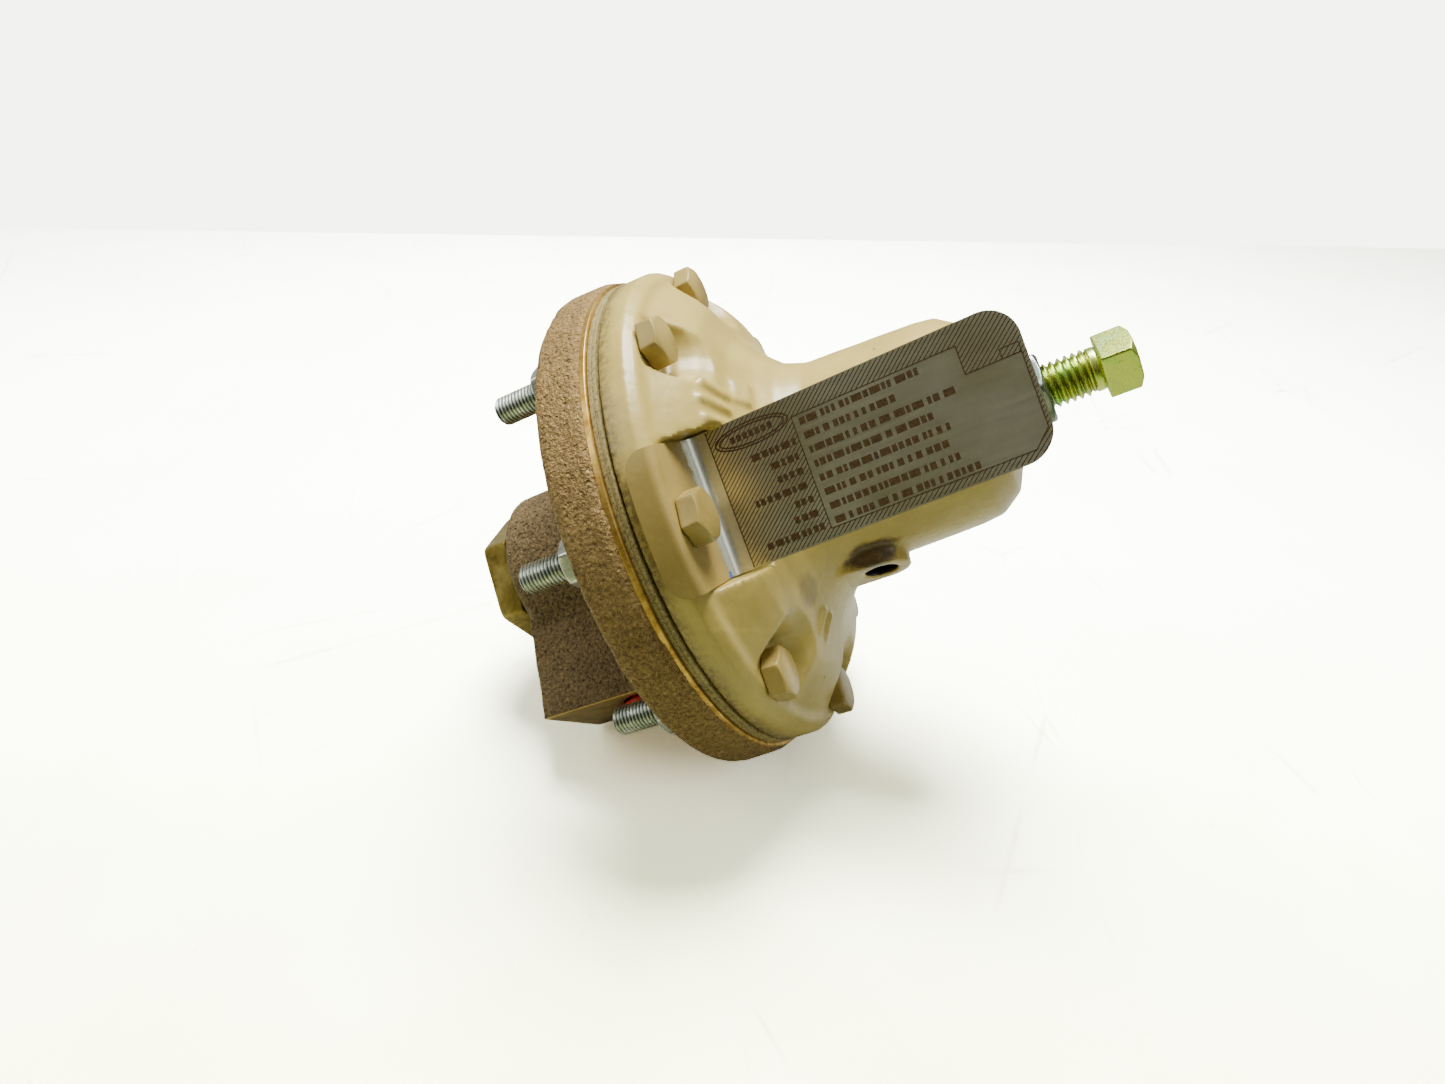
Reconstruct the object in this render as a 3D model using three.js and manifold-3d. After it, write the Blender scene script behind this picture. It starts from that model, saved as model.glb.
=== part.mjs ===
// Direct-acting pressure reducing valve. Millimetres, +Z up along the valve axis, adjusting screw on top.
// The underside of the hexagonal body cap is z = 0, the near port faces +X and the far port faces -X.
import * as THREE from 'three';
import * as BufferGeometryUtils from 'three/addons/utils/BufferGeometryUtils.js';
import Module from 'manifold-3d';

const wasm = await Module();
wasm.setup();

// ---------- driving dimensions ----------
const GAP = 0.3; // clearance kept between touching pieces
const JOINT_Z = 75; // plane where the diaphragm meets the spring chamber

// flanges and bolts
const BODY_FLANGE_R = 74.2;
const LAND_R = 72.7; // turned land at the joint edge of the body flange
const RIM_R = 71.6; // spring chamber, gasket and diaphragm rim
const BODY_FLANGE_BOTTOM_Z = JOINT_Z - 18;
const BODY_FLANGE_TOP_Z = JOINT_Z - 2.55;
const SEAT_Z = JOINT_Z + 10.3; // spot-faced bolt seats
const BOLT_COUNT = 8;
const BOLT_CIRCLE_R = 63.5;
const FIRST_BOLT_ANGLE = 22.5;
const BOLT_R = 3.97;
const BOLT_HOLE_R = 4.4;
const BOLT_END_Z = JOINT_Z - 35.6;
const HEAD_ACROSS_FLATS = 12.7;
const HEAD_HEIGHT = 5.2;
const NUT_HEIGHT = 6.75;
const HEAD_TURNS = [23, 8, 31, 52, 47, 26, 40, 15]; // how far each head was turned when tightened
const NUT_TURNS = [11, 34, 57, 20, 43, 45.5, 6.5, 54.5];
const NUT_SEAT_Z = JOINT_Z - 14.7; // floor of the round pocket that each nut sits in
const NUT_POCKET_R = 8.4;

// body casting
const BODY_BOTTOM_Z = 9.2;
const HUB_R = 25.5;
const PORT_Z = JOINT_Z - 33.5;
const PORT_FACE_X = 50;
const PORT_BLOCK_HALF_WIDTH = 15.7;
const PORT_BOSS_R = 16;
const PORT_HOLE_R = 10.4;
const SEAT_BORE_R = 12.3;
const INLET_CAVITY_R = 17.5;
const CAP_THREAD_R = 16.4;

// body cap
const CAP_ACROSS_FLATS = 38.1;
const CAP_HEX_HEIGHT = 8;
const CAP_HEX_ANGLE = 43.6;

// diaphragm stack
const RING_BORE_R = 47;
const GASKET_Z = [BODY_FLANGE_TOP_Z + GAP, BODY_FLANGE_TOP_Z + 1.2];
const DIAPHRAGM_Z = [JOINT_Z - 1.05, JOINT_Z - 0.15];
const CHAMBER_BOTTOM_Z = JOINT_Z + 0.15;

// spring chamber
const BONNET_BORE_R = 23.5;
const BONNET_TOP_Z = JOINT_Z + 85.7;
const BONNET_ROOF_Z = JOINT_Z + 77.6;
const POCKET_R = 9.2;
const VENT_Z = JOINT_Z + 40.5;
const VENT_R = 4.6;
const VENT_FACE_R = 34.6;

// adjusting screw, washer and lock nut
const SCREW_R = 6.35;
const SCREW_TIP_Z = JOINT_Z + 75.2;
const NECK_Z = JOINT_Z + 109;
const SQUARE_Z = JOINT_Z + 111.3;
const SCREW_TOP_Z = JOINT_Z + 120.3;
const SQUARE_SIDE = 12.7;
const SQUARE_ANGLE = 11;
const WASHER_THICK = 1.6;
const LOCK_NUT_ACROSS_FLATS = 19.05;
const LOCK_NUT_HEIGHT = 9.3;

// springs
const RANGE_SPRING = { meanR: 16.6, wireR: 2.6, low: JOINT_Z + 3.5, high: JOINT_Z + 69.4, turns: 7 };
const PISTON_SPRING = { meanR: 5.6, wireR: 0.75, low: 5.2, high: 33, turns: 7 };

// nameplate
const PLATE_THICK = 0.8;
const PLATE_HALF_WIDTH = 18.3;
const PLATE_SHIFT = -1; // the sheet sits a little to one side of its bolt
const PLATE_ANGLE = -67.5;
const PLATE_RADIUS = 45; // inner face of the standing part, from the valve axis
const PLATE_TOP_Z = JOINT_Z + 95;
const PLATE_LIP_Z = JOINT_Z + 3.6;
const PLATE_LEAN = Math.tan(THREE.MathUtils.degToRad(-1.6)); // the standing part leans sideways a little
const PLATE_CORNER_R = 8;

// ---------- materials ----------
function material(name, colour, roughness, metalness) {
  return new THREE.MeshStandardMaterial({ name, color: colour, roughness, metalness });
}
const bronze = material('bronze', 0x7d5f3f, 0.8, 0.4);
const brass = material('brass', 0xa8924a, 0.4, 0.9);
const paint = material('paint', 0xcbb98c, 0.45, 0);
const zinc = material('zinc', 0xb9c0bd, 0.35, 0.9);
const yellowZinc = material('yellow_zinc', 0xb9ad55, 0.35, 0.9);
const stainless = material('stainless', 0xa9a595, 0.3, 0.9);
const steel = material('steel', 0x8d9194, 0.45, 0.9);
const springSteel = material('spring_steel', 0x6a6d70, 0.45, 0.9);
const gasketSheet = material('gasket_sheet', 0x80784d, 0.8, 0);
const rubber = material('rubber', 0x1f1f1f, 0.9, 0);
const redPlastic = material('red_plastic', 0xa8121c, 0.4, 0);

// ---------- solids: building and cutting ----------
function asManifold(geometry) {
  const bare = new THREE.BufferGeometry();
  const source = geometry.index ? geometry.toNonIndexed() : geometry;
  bare.setAttribute('position', source.getAttribute('position').clone());
  const merged = BufferGeometryUtils.mergeVertices(bare, 1e-4);
  const index = merged.index.array;
  const triVerts = [];
  for (let i = 0; i < index.length; i += 3) {
    const [a, b, c] = [index[i], index[i + 1], index[i + 2]];
    if (a !== b && b !== c && c !== a) triVerts.push(a, b, c);
  }
  const positions = merged.getAttribute('position').array;
  if (signedVolume(positions, triVerts) < 0) triVerts.reverse();
  return new wasm.Manifold(new wasm.Mesh({
    numProp: 3,
    vertProperties: new Float32Array(positions),
    triVerts: new Uint32Array(triVerts),
  }));
}

function signedVolume(positions, triVerts) {
  const corner = (i) => new THREE.Vector3().fromArray(positions, 3 * i);
  let volume = 0;
  for (let i = 0; i < triVerts.length; i += 3) {
    const [a, b, c] = [corner(triVerts[i]), corner(triVerts[i + 1]), corner(triVerts[i + 2])];
    volume += a.dot(b.cross(c)) / 6;
  }
  return volume;
}

function asGeometry(manifold) {
  const mesh = manifold.getMesh();
  const points = new Float32Array(mesh.numVert * 3);
  for (let i = 0; i < mesh.numVert; i += 1) {
    for (let k = 0; k < 3; k += 1) points[3 * i + k] = mesh.vertProperties[mesh.numProp * i + k];
  }
  const geometry = new THREE.BufferGeometry();
  geometry.setAttribute('position', new THREE.BufferAttribute(points, 3));
  geometry.setIndex(new THREE.BufferAttribute(new Uint32Array(mesh.triVerts), 1));
  return geometry;
}

function union(solids) {
  return solids.reduce((all, solid) => all.add(solid));
}

function cut(solid, tools) {
  return tools.reduce((rest, tool) => rest.subtract(tool), solid);
}

// A solid of revolution about Z; the profile is a list of [radius, z] that starts and ends on the axis
// or closes on itself.
function turned(profile, segments = 32) {
  const points = profile.map(([r, z]) => new THREE.Vector2(r, z));
  return asManifold(new THREE.LatheGeometry(points, segments).rotateX(Math.PI / 2));
}

function ring(outerR, innerR, lowZ, highZ, segments = 32) {
  return turned([[innerR, lowZ], [outerR, lowZ], [outerR, highZ], [innerR, highZ], [innerR, lowZ]], segments);
}

function rod(r, lowZ, highZ, segments = 20) {
  return turned([[0, lowZ], [r, lowZ], [r, highZ], [0, highZ]], segments);
}

function box(lowX, highX, lowY, highY, lowZ, highZ) {
  const geometry = new THREE.BoxGeometry(highX - lowX, highY - lowY, highZ - lowZ);
  geometry.translate((lowX + highX) / 2, (lowY + highY) / 2, (lowZ + highZ) / 2);
  return asManifold(geometry);
}

// Turns a solid made along +Z so that its axis runs along +X (or -X), then lifts it to a height.
function alongX(solid, z, side = 1) {
  const geometry = asGeometry(solid).rotateY((side * Math.PI) / 2);
  return asManifold(geometry.translate(0, 0, z));
}

function moved(solid, angle, r, z = 0) {
  const turn = THREE.MathUtils.degToRad(angle);
  const geometry = asGeometry(solid).translate(r, 0, z).rotateZ(turn);
  return asManifold(geometry);
}

// A regular prism with its corners chamfered by a cone, as on a bolt head or nut.
function chamferedPrism(sides, acrossFlats, lowZ, highZ, angle, chamferLow, chamferHigh, faceR) {
  const cornerR = acrossFlats / 2 / Math.cos(Math.PI / sides);
  const geometry = new THREE.CylinderGeometry(cornerR, cornerR, highZ - lowZ, sides, 1);
  geometry.rotateX(Math.PI / 2).rotateZ(THREE.MathUtils.degToRad(angle)).translate(0, 0, (lowZ + highZ) / 2);
  const washerR = faceR ?? acrossFlats / 2 - 0.1;
  const wideR = cornerR + 2;
  const drop = (wideR - washerR) * 0.55;
  const cone = turned([
    [0, lowZ], [chamferLow ? washerR : wideR, lowZ], [wideR, lowZ + (chamferLow ? drop : 0)],
    [wideR, highZ - (chamferHigh ? drop : 0)], [chamferHigh ? washerR : wideR, highZ], [0, highZ],
  ], 18);
  return asManifold(geometry).intersect(cone);
}

function boltAngles() {
  return Array.from({ length: BOLT_COUNT }, (_, i) => FIRST_BOLT_ANGLE + (360 / BOLT_COUNT) * i);
}

function boltHoles(lowZ, highZ) {
  return boltAngles().map((angle) => moved(rod(BOLT_HOLE_R, lowZ, highZ, 16), angle, BOLT_CIRCLE_R));
}

// ---------- body ----------
function valveBody() {
  const under = BODY_FLANGE_BOTTOM_Z;
  const flangeAndHub = turned([
    [0, BODY_BOTTOM_Z], [HUB_R - 2.5, BODY_BOTTOM_Z], [HUB_R, BODY_BOTTOM_Z + 2.5], [HUB_R, under - 6],
    [HUB_R + 1.8, under - 1.8], [HUB_R + 6, under], [BODY_FLANGE_R - 2, under], [BODY_FLANGE_R - 0.6, under + 1],
    [BODY_FLANGE_R, under + 3.5], [BODY_FLANGE_R - 0.4, BODY_FLANGE_TOP_Z - 2.4],
    [LAND_R, BODY_FLANGE_TOP_Z - 2], [LAND_R, BODY_FLANGE_TOP_Z], [0, BODY_FLANGE_TOP_Z],
  ], 64);
  const nearBlock = box(0, PORT_FACE_X, -PORT_BLOCK_HALF_WIDTH, PORT_BLOCK_HALF_WIDTH, BODY_BOTTOM_Z, under + 4);
  const farBoss = alongX(rod(PORT_BOSS_R, 0, PORT_FACE_X, 32), PORT_Z, -1);
  const casting = union([flangeAndHub, nearBlock, farBoss]);

  const bowl = turned([
    [0, PORT_Z], [SEAT_BORE_R, PORT_Z], [SEAT_BORE_R, JOINT_Z - 15.5], [22, JOINT_Z - 14],
    [RING_BORE_R - 6, JOINT_Z - 8], [RING_BORE_R, JOINT_Z - 5.5], [RING_BORE_R, JOINT_Z], [0, JOINT_Z],
  ]);
  const inletCavity = turned([
    [0, 26], [CAP_THREAD_R, 26], [INLET_CAVITY_R, 28], [INLET_CAVITY_R, PORT_Z + 8], [SEAT_BORE_R, PORT_Z + 10.5],
    [0, PORT_Z + 10.5],
  ], 32);
  const capBore = rod(CAP_THREAD_R, BODY_BOTTOM_Z - 1, 27, 32);
  const farPort = alongX(portHole(PORT_FACE_X - 14), PORT_Z, -1);
  const nearPort = alongX(portHole(PORT_FACE_X - 27), PORT_Z, 1);
  const riser = moved(rod(7.6, PORT_Z - 4, JOINT_Z - 6, 20), 0, 31);
  const holes = boltHoles(under - 2, JOINT_Z);
  const pockets = boltAngles().map((angle) => (
    moved(rod(NUT_POCKET_R, under - 1, NUT_SEAT_Z, 24), angle, BOLT_CIRCLE_R)
  ));
  return cut(casting, [bowl, inletCavity, capBore, farPort, nearPort, riser, ...holes, ...pockets]);
}

// Port bore with a chamfered mouth, made along +Z from a depth inside the body to just past the port face.
function portHole(length) {
  const mouth = PORT_FACE_X;
  return turned([
    [0, mouth - length], [PORT_HOLE_R - 0.6, mouth - length], [PORT_HOLE_R, mouth - 1.2],
    [PORT_HOLE_R + 1.2, mouth], [PORT_HOLE_R + 1.2, mouth + 1], [0, mouth + 1],
  ], 32);
}

function bodyCap() {
  const hex = chamferedPrism(6, CAP_ACROSS_FLATS, 0, CAP_HEX_HEIGHT, CAP_HEX_ANGLE, true, false,
    CAP_ACROSS_FLATS * 0.56);
  const plug = turned([
    [0, 4], [CAP_THREAD_R - 2, 4], [CAP_THREAD_R - 2, 9], [CAP_THREAD_R - GAP, 10.5], [CAP_THREAD_R - GAP, 22],
    [CAP_THREAD_R - 1.6, 23.5], [0, 23.5],
  ], 32);
  const springPocket = rod(7.6, 4.8, 30, 24);
  return cut(hex.add(plug), [springPocket]);
}

function capGasket() {
  return ring(19.6, CAP_THREAD_R - 1.4, CAP_HEX_HEIGHT + GAP, BODY_BOTTOM_Z - GAP, 48);
}

// ---------- diaphragm stack ----------
function rimRing(lowZ, highZ, innerR) {
  return cut(ring(RIM_R - 0.1, innerR, lowZ, highZ, 64), boltHoles(lowZ - 1, highZ + 1));
}

function pressurePlate() {
  const base = JOINT_Z + 0.15;
  return turned([
    [3.5, base], [40, base], [41, base + 0.8], [41, base + 1.8], [40, base + 2.6], [14.4, base + 3], [13, base + 6],
    [9, base + 6], [9, base + 3], [3.5, base + 3], [3.5, base],
  ], 32);
}

function pusherPlate() {
  const top = DIAPHRAGM_Z[0] - GAP;
  return turned([
    [0, PORT_Z + 7.3], [2.2, PORT_Z + 7.3], [2.2, PORT_Z + 12], [3.2, PORT_Z + 13], [3.2, top - 9], [8, top - 6],
    [28, top - 3.2], [30, top - 2.2], [30, top], [3.3, top], [3.3, top - 7], [0, top - 7],
  ], 32);
}

function diaphragmScrew() {
  const seat = JOINT_Z + 0.15 + 3 + GAP;
  const head = chamferedPrism(6, 11.1, seat, seat + 4.4, 10, false, true);
  return head.add(rod(3, DIAPHRAGM_Z[0] - 6, seat + 1, 20));
}

// ---------- inner valve ----------
function seatRing() {
  const high = JOINT_Z - 16;
  const low = PORT_Z + 8.6;
  return turned([
    [4.8, low], [6.2, low - 0.9], [7.4, low], [SEAT_BORE_R - GAP, low + 1.2], [SEAT_BORE_R - GAP, high - 0.6],
    [SEAT_BORE_R - 1, high], [6, high], [4.8, high - 1.2], [4.8, low],
  ], 24);
}

function seatDisc() {
  return ring(7.8, 2.6, PORT_Z + 5, PORT_Z + 7.2, 36);
}

function valvePiston() {
  const top = PORT_Z + 4.7;
  return turned([
    [0, 33.4], [7.2, 33.4], [8.6, 34.6], [8.6, top], [2.3, top], [2.3, top - 6], [0, top - 6],
  ], 24);
}

function discRetainer() {
  return turned([
    [0, PORT_Z - 1], [1.9, PORT_Z - 1], [1.9, PORT_Z + 6.9], [0, PORT_Z + 6.9],
  ], 20);
}

// ---------- spring chamber ----------
function chamberOutline() {
  const at = (r, z) => [r, JOINT_Z + z];
  return [
    at(RIM_R, 0.15), at(RIM_R - 0.1, 7.6), at(RIM_R - 2.6, 10.3), at(66.5, 10.8), at(58.5, 17.6), at(55, 19.9),
    at(44.6, 22.9), at(38, 27.2), at(33.4, 32), at(31, 38.5), at(29.7, 70), at(28.8, 76), at(24.4, 82),
    at(16, 85.7),
  ];
}

function springChamber() {
  const outside = turned([[0, CHAMBER_BOTTOM_Z], ...chamberOutline(), [0, BONNET_TOP_Z]], 64);
  const ventBoss = alongX(rod(8.6, 12, VENT_FACE_R, 28), VENT_Z, 1);
  const ventPad = box(12, VENT_FACE_R, -8.6, 8.6, JOINT_Z + 24, VENT_Z);
  const casting = union([outside, ventBoss, ventPad]);

  const inside = turned([
    [0, JOINT_Z - 1], [46, JOINT_Z - 1], [46, JOINT_Z + 2.5], [43, JOINT_Z + 6], [36, JOINT_Z + 12],
    [28, JOINT_Z + 19], [BONNET_BORE_R, JOINT_Z + 25], [BONNET_BORE_R - 0.8, BONNET_ROOF_Z - 2],
    [BONNET_BORE_R - 2.8, BONNET_ROOF_Z], [0, BONNET_ROOF_Z],
  ], 40);
  const screwBore = rod(SCREW_R + GAP + 0.05, BONNET_ROOF_Z - 1, BONNET_TOP_Z + 1, 32);
  const vent = alongX(rod(VENT_R, 12, VENT_FACE_R + 1, 24), VENT_Z, 1);
  return cut(casting, [inside, screwBore, vent, plateRecess(), ...boltPockets(), ...boltHoles(JOINT_Z - 1, 100)]);
}

// Spot face and flared pocket round each bolt head.
function boltPockets() {
  const pocket = turned([
    [0, SEAT_Z], [POCKET_R, SEAT_Z], [POCKET_R + 0.7, SEAT_Z + 3], [POCKET_R + 2.6, SEAT_Z + 7.5],
    [POCKET_R + 5.8, SEAT_Z + 11], [POCKET_R + 5.8, SEAT_Z + 20], [0, SEAT_Z + 20],
  ], 20);
  return boltAngles().map((angle) => moved(pocket, angle, BOLT_CIRCLE_R));
}

// Flat recess in the shoulder where the nameplate lies.
function plateRecess() {
  const low = PLATE_SHIFT - PLATE_HALF_WIDTH - 0.65;
  const high = PLATE_SHIFT + PLATE_HALF_WIDTH + 0.45;
  return moved(box(PLATE_RADIUS - 1.2, 90, low, high, SEAT_Z, JOINT_Z + 40), PLATE_ANGLE, 0);
}

// ---------- screw, nut and spring fittings ----------
function adjustingScrew() {
  const shank = turned([
    [0, SCREW_TIP_Z], [SCREW_R - 2.2, SCREW_TIP_Z], [SCREW_R, SCREW_TIP_Z + 2.2], [SCREW_R, NECK_Z - 1],
    [SCREW_R - 0.4, NECK_Z], [SCREW_R - 0.4, SQUARE_Z + 1], [0, SQUARE_Z + 1],
  ], 32);
  return shank.add(chamferedPrism(4, SQUARE_SIDE, SQUARE_Z, SCREW_TOP_Z, SQUARE_ANGLE, false, true));
}

function lockWasher() {
  const low = BONNET_TOP_Z + GAP;
  return ring(11.4, SCREW_R + GAP, low, low + WASHER_THICK, 40);
}

function lockNut() {
  const low = BONNET_TOP_Z + WASHER_THICK + 2 * GAP;
  const hex = chamferedPrism(6, LOCK_NUT_ACROSS_FLATS, low, low + LOCK_NUT_HEIGHT, 20, true, true);
  return cut(hex, [rod(SCREW_R + GAP, low - 1, low + LOCK_NUT_HEIGHT + 1, 32)]);
}

function springButton() {
  const low = JOINT_Z + 69.7;
  return turned([
    [0, low - 4], [12, low - 4], [13.4, low - 2.6], [13.4, low], [19.6, low], [19.6, low + 2.6], [12, low + 4.6],
    [6.6, low + 4.9], [5, low + 3.6], [0, low + 3],
  ], 32);
}

class HelixCurve extends THREE.Curve {
  constructor(r, low, high, turns) {
    super();
    Object.assign(this, { r, low, high, turns });
  }

  getPoint(t, target = new THREE.Vector3()) {
    const a = 2 * Math.PI * this.turns * t;
    return target.set(this.r * Math.cos(a), this.r * Math.sin(a), this.low + (this.high - this.low) * t);
  }
}

// Helical spring of round wire; low and high are the outer ends of the coil.
function coilSpring({ meanR, wireR, low, high, turns }, sides, stepsPerTurn) {
  const wire = new THREE.Shape();
  for (let i = 0; i < sides; i += 1) {
    const a = (2 * Math.PI * i) / sides;
    const point = [wireR * Math.cos(a), wireR * Math.sin(a)];
    if (i === 0) wire.moveTo(...point);
    else wire.lineTo(...point);
  }
  wire.closePath();
  const path = new HelixCurve(meanR, low + wireR * 1.05, high - wireR * 1.05, turns);
  const steps = Math.round(turns * stepsPerTurn);
  return asManifold(new THREE.ExtrudeGeometry(wire, { steps, extrudePath: path, bevelEnabled: false }));
}

// ---------- bolts and nuts ----------
function flangeBolt(headSeatZ) {
  const head = chamferedPrism(6, HEAD_ACROSS_FLATS, headSeatZ, headSeatZ + HEAD_HEIGHT, 0, false, true);
  const shank = turned([
    [0, BOLT_END_Z], [BOLT_R - 0.8, BOLT_END_Z], [BOLT_R, BOLT_END_Z + 0.8], [BOLT_R, headSeatZ + 1],
    [0, headSeatZ + 1],
  ], 16);
  return head.add(shank);
}

function flangeNut() {
  const high = NUT_SEAT_Z - GAP;
  const hex = chamferedPrism(6, HEAD_ACROSS_FLATS, high - NUT_HEIGHT, high, 0, true, true);
  return cut(hex, [rod(BOLT_R + GAP, high - NUT_HEIGHT - 1, high + 1, 14)]);
}

// ---------- nameplate ----------
// Section across the bent sheet in the plane of the valve axis: x is the distance from the axis, y is height.
function plateSection() {
  const t = PLATE_THICK;
  const low = SEAT_Z + GAP;
  const outerFace = RIM_R + GAP + t + 0.2;
  const bend = 3;
  const face = PLATE_RADIUS;
  const section = new THREE.Shape();
  section.moveTo(outerFace, PLATE_LIP_Z);
  section.lineTo(outerFace, low - 1.5);
  section.absarc(outerFace - t - 1.5, low + t - t - 1.5, t + 1.5, 0, Math.PI / 2, false);
  section.lineTo(face + t + bend, low + t);
  section.absarc(face + t + bend, low + t + bend, bend, -Math.PI / 2, -Math.PI, true);
  section.lineTo(face + t, PLATE_TOP_Z);
  section.lineTo(face, PLATE_TOP_Z);
  section.lineTo(face, low + t + bend);
  section.absarc(face + t + bend, low + t + bend, bend + t, -Math.PI, -Math.PI / 2, false);
  section.lineTo(outerFace - t - 1.5, low);
  section.absarc(outerFace - t - 1.5, low - 1.5, 1.5, Math.PI / 2, 0, true);
  section.lineTo(outerFace - t, PLATE_LIP_Z);
  section.closePath();
  return section;
}

// Waste outside a rounded corner of the sheet, centred on the corner's arc, as a bar along the given axis.
function cornerWaste(r, signA, signB, length) {
  const shape = new THREE.Shape();
  const over = r + 2;
  shape.moveTo(signA * r, 0);
  shape.lineTo(signA * over, 0);
  shape.lineTo(signA * over, signB * over);
  shape.lineTo(0, signB * over);
  shape.lineTo(0, signB * r);
  const steps = 8;
  for (let i = steps - 1; i > 0; i -= 1) {
    const a = (Math.PI / 2) * (i / steps);
    shape.lineTo(signA * r * Math.cos(a), signB * r * Math.sin(a));
  }
  shape.closePath();
  return new THREE.ExtrudeGeometry(shape, { depth: length, bevelEnabled: false });
}

// The lip end of the sheet follows the round rim of the flange.
function curveLip(geometry) {
  const position = geometry.getAttribute('position');
  for (let i = 0; i < position.count; i += 1) {
    const [x, y] = [position.getX(i), position.getY(i) + PLATE_SHIFT];
    if (x > BOLT_CIRCLE_R) position.setX(i, x - RIM_R + Math.sqrt(RIM_R * RIM_R - y * y));
  }
  return geometry;
}

function nameplate() {
  const w = PLATE_HALF_WIDTH;
  const sheet = curveLip(new THREE.ExtrudeGeometry(plateSection(), {
    depth: 2 * w, steps: 10, bevelEnabled: false, curveSegments: 4,
  }).translate(0, 0, -w).rotateX(Math.PI / 2));
  const tools = [];
  for (const side of [-1, 1]) {
    const top = cornerWaste(PLATE_CORNER_R, side, 1, 30).rotateX(Math.PI / 2).rotateZ(Math.PI / 2);
    top.translate(PLATE_RADIUS - 10, side * (w - PLATE_CORNER_R), PLATE_TOP_Z - PLATE_CORNER_R);
    const lipR = 5;
    const lip = cornerWaste(lipR, side, -1, 30).rotateX(Math.PI / 2).rotateZ(Math.PI / 2);
    lip.translate(RIM_R - 10, side * (w - lipR), PLATE_LIP_Z + lipR);
    tools.push(asManifold(top), asManifold(lip));
  }
  const bolt = asGeometry(rod(BOLT_R + GAP, SEAT_Z - 2, SEAT_Z + 4, 20));
  tools.push(asManifold(bolt.translate(BOLT_CIRCLE_R, -PLATE_SHIFT, 0)));
  const flat = asGeometry(cut(asManifold(sheet), tools));
  const position = flat.getAttribute('position');
  for (let i = 0; i < position.count; i += 1) {
    const rise = Math.max(0, position.getZ(i) - (SEAT_Z + 4.5));
    position.setY(i, position.getY(i) + PLATE_SHIFT + PLATE_LEAN * rise);
  }
  return moved(asManifold(flat), PLATE_ANGLE, 0);
}

// ---------- port plugs ----------
// Hollow push-in plug with a flange, made along +Z and turned to face along the port.
function portPlug(side) {
  const face = PORT_FACE_X + GAP;
  const tip = PORT_FACE_X - 9;
  const plug = turned([
    [0, tip], [9, tip], [9.45, face], [11.2, face], [11.2, face + 1.8], [8, face + 1.8], [7.6, tip + 1.4],
    [0, tip + 1.4],
  ], 32);
  return alongX(plug, PORT_Z, side);
}

// ---------- assembly ----------
const valve = new THREE.Group();

function place(name, solid, look, parent = valve) {
  const mesh = new THREE.Mesh(asGeometry(solid), look);
  mesh.name = name;
  parent.add(mesh);
  return mesh;
}

place('valve_body', valveBody(), bronze);
place('body_cap', bodyCap(), brass);
place('cap_gasket', capGasket(), steel);
place('diaphragm_gasket', rimRing(...GASKET_Z, RING_BORE_R + 1), gasketSheet);
place('diaphragm', rimRing(...DIAPHRAGM_Z, 3.4), rubber);
place('spring_chamber', springChamber(), paint);

boltAngles().forEach((angle, i) => {
  const underPlate = Math.abs(angle - 360 - PLATE_ANGLE) < 1;
  const headSeatZ = SEAT_Z + GAP + (underPlate ? PLATE_THICK + GAP : 0);
  const station = new THREE.Group();
  station.rotation.z = THREE.MathUtils.degToRad(angle);
  valve.add(station);
  const bolt = place(`flange_bolt_${i + 1}`, flangeBolt(headSeatZ), paint, station);
  const nut = place(`flange_nut_${i + 1}`, flangeNut(), zinc, station);
  for (const [piece, turn] of [[bolt, HEAD_TURNS[i]], [nut, NUT_TURNS[i]]]) {
    piece.position.x = BOLT_CIRCLE_R;
    piece.rotation.z = THREE.MathUtils.degToRad(turn);
  }
});

place('pressure_plate', pressurePlate(), steel);
place('pusher_plate', pusherPlate(), brass);
place('diaphragm_screw', diaphragmScrew(), steel);
place('seat_ring', seatRing(), stainless);
place('seat_disc', seatDisc(), rubber);
place('disc_retainer', discRetainer(), stainless);
place('valve_piston', valvePiston(), brass);
place('piston_spring', coilSpring(PISTON_SPRING, 6, 12), springSteel);
place('range_spring', coilSpring(RANGE_SPRING, 8, 16), springSteel);
place('spring_button', springButton(), steel);
place('adjusting_screw', adjustingScrew(), yellowZinc);
place('lock_washer', lockWasher(), zinc);
place('lock_nut', lockNut(), zinc);
place('nameplate', nameplate(), stainless);
place('near_port_plug', portPlug(1), redPlastic);
place('far_port_plug', portPlug(-1), redPlastic);

export default valve;
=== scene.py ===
import math
import random

import bmesh
import bpy
import numpy as np
from mathutils import Matrix, Vector, noise


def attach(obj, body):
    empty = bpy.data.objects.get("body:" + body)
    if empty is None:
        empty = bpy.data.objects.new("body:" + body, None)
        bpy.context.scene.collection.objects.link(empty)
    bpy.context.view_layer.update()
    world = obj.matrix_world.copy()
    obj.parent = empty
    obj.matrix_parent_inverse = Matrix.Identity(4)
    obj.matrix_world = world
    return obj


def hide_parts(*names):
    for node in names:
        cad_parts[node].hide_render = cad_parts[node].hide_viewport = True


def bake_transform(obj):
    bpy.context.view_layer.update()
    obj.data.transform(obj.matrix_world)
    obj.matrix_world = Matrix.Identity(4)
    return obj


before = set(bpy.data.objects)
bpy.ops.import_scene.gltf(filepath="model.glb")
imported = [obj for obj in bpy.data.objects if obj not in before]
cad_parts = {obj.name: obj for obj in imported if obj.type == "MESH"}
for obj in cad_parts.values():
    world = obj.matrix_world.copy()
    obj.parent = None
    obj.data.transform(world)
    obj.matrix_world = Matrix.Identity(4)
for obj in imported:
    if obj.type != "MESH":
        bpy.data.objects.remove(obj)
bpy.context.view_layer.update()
MM = 0.001
PER_METRE = 1000  # millimetres

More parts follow.
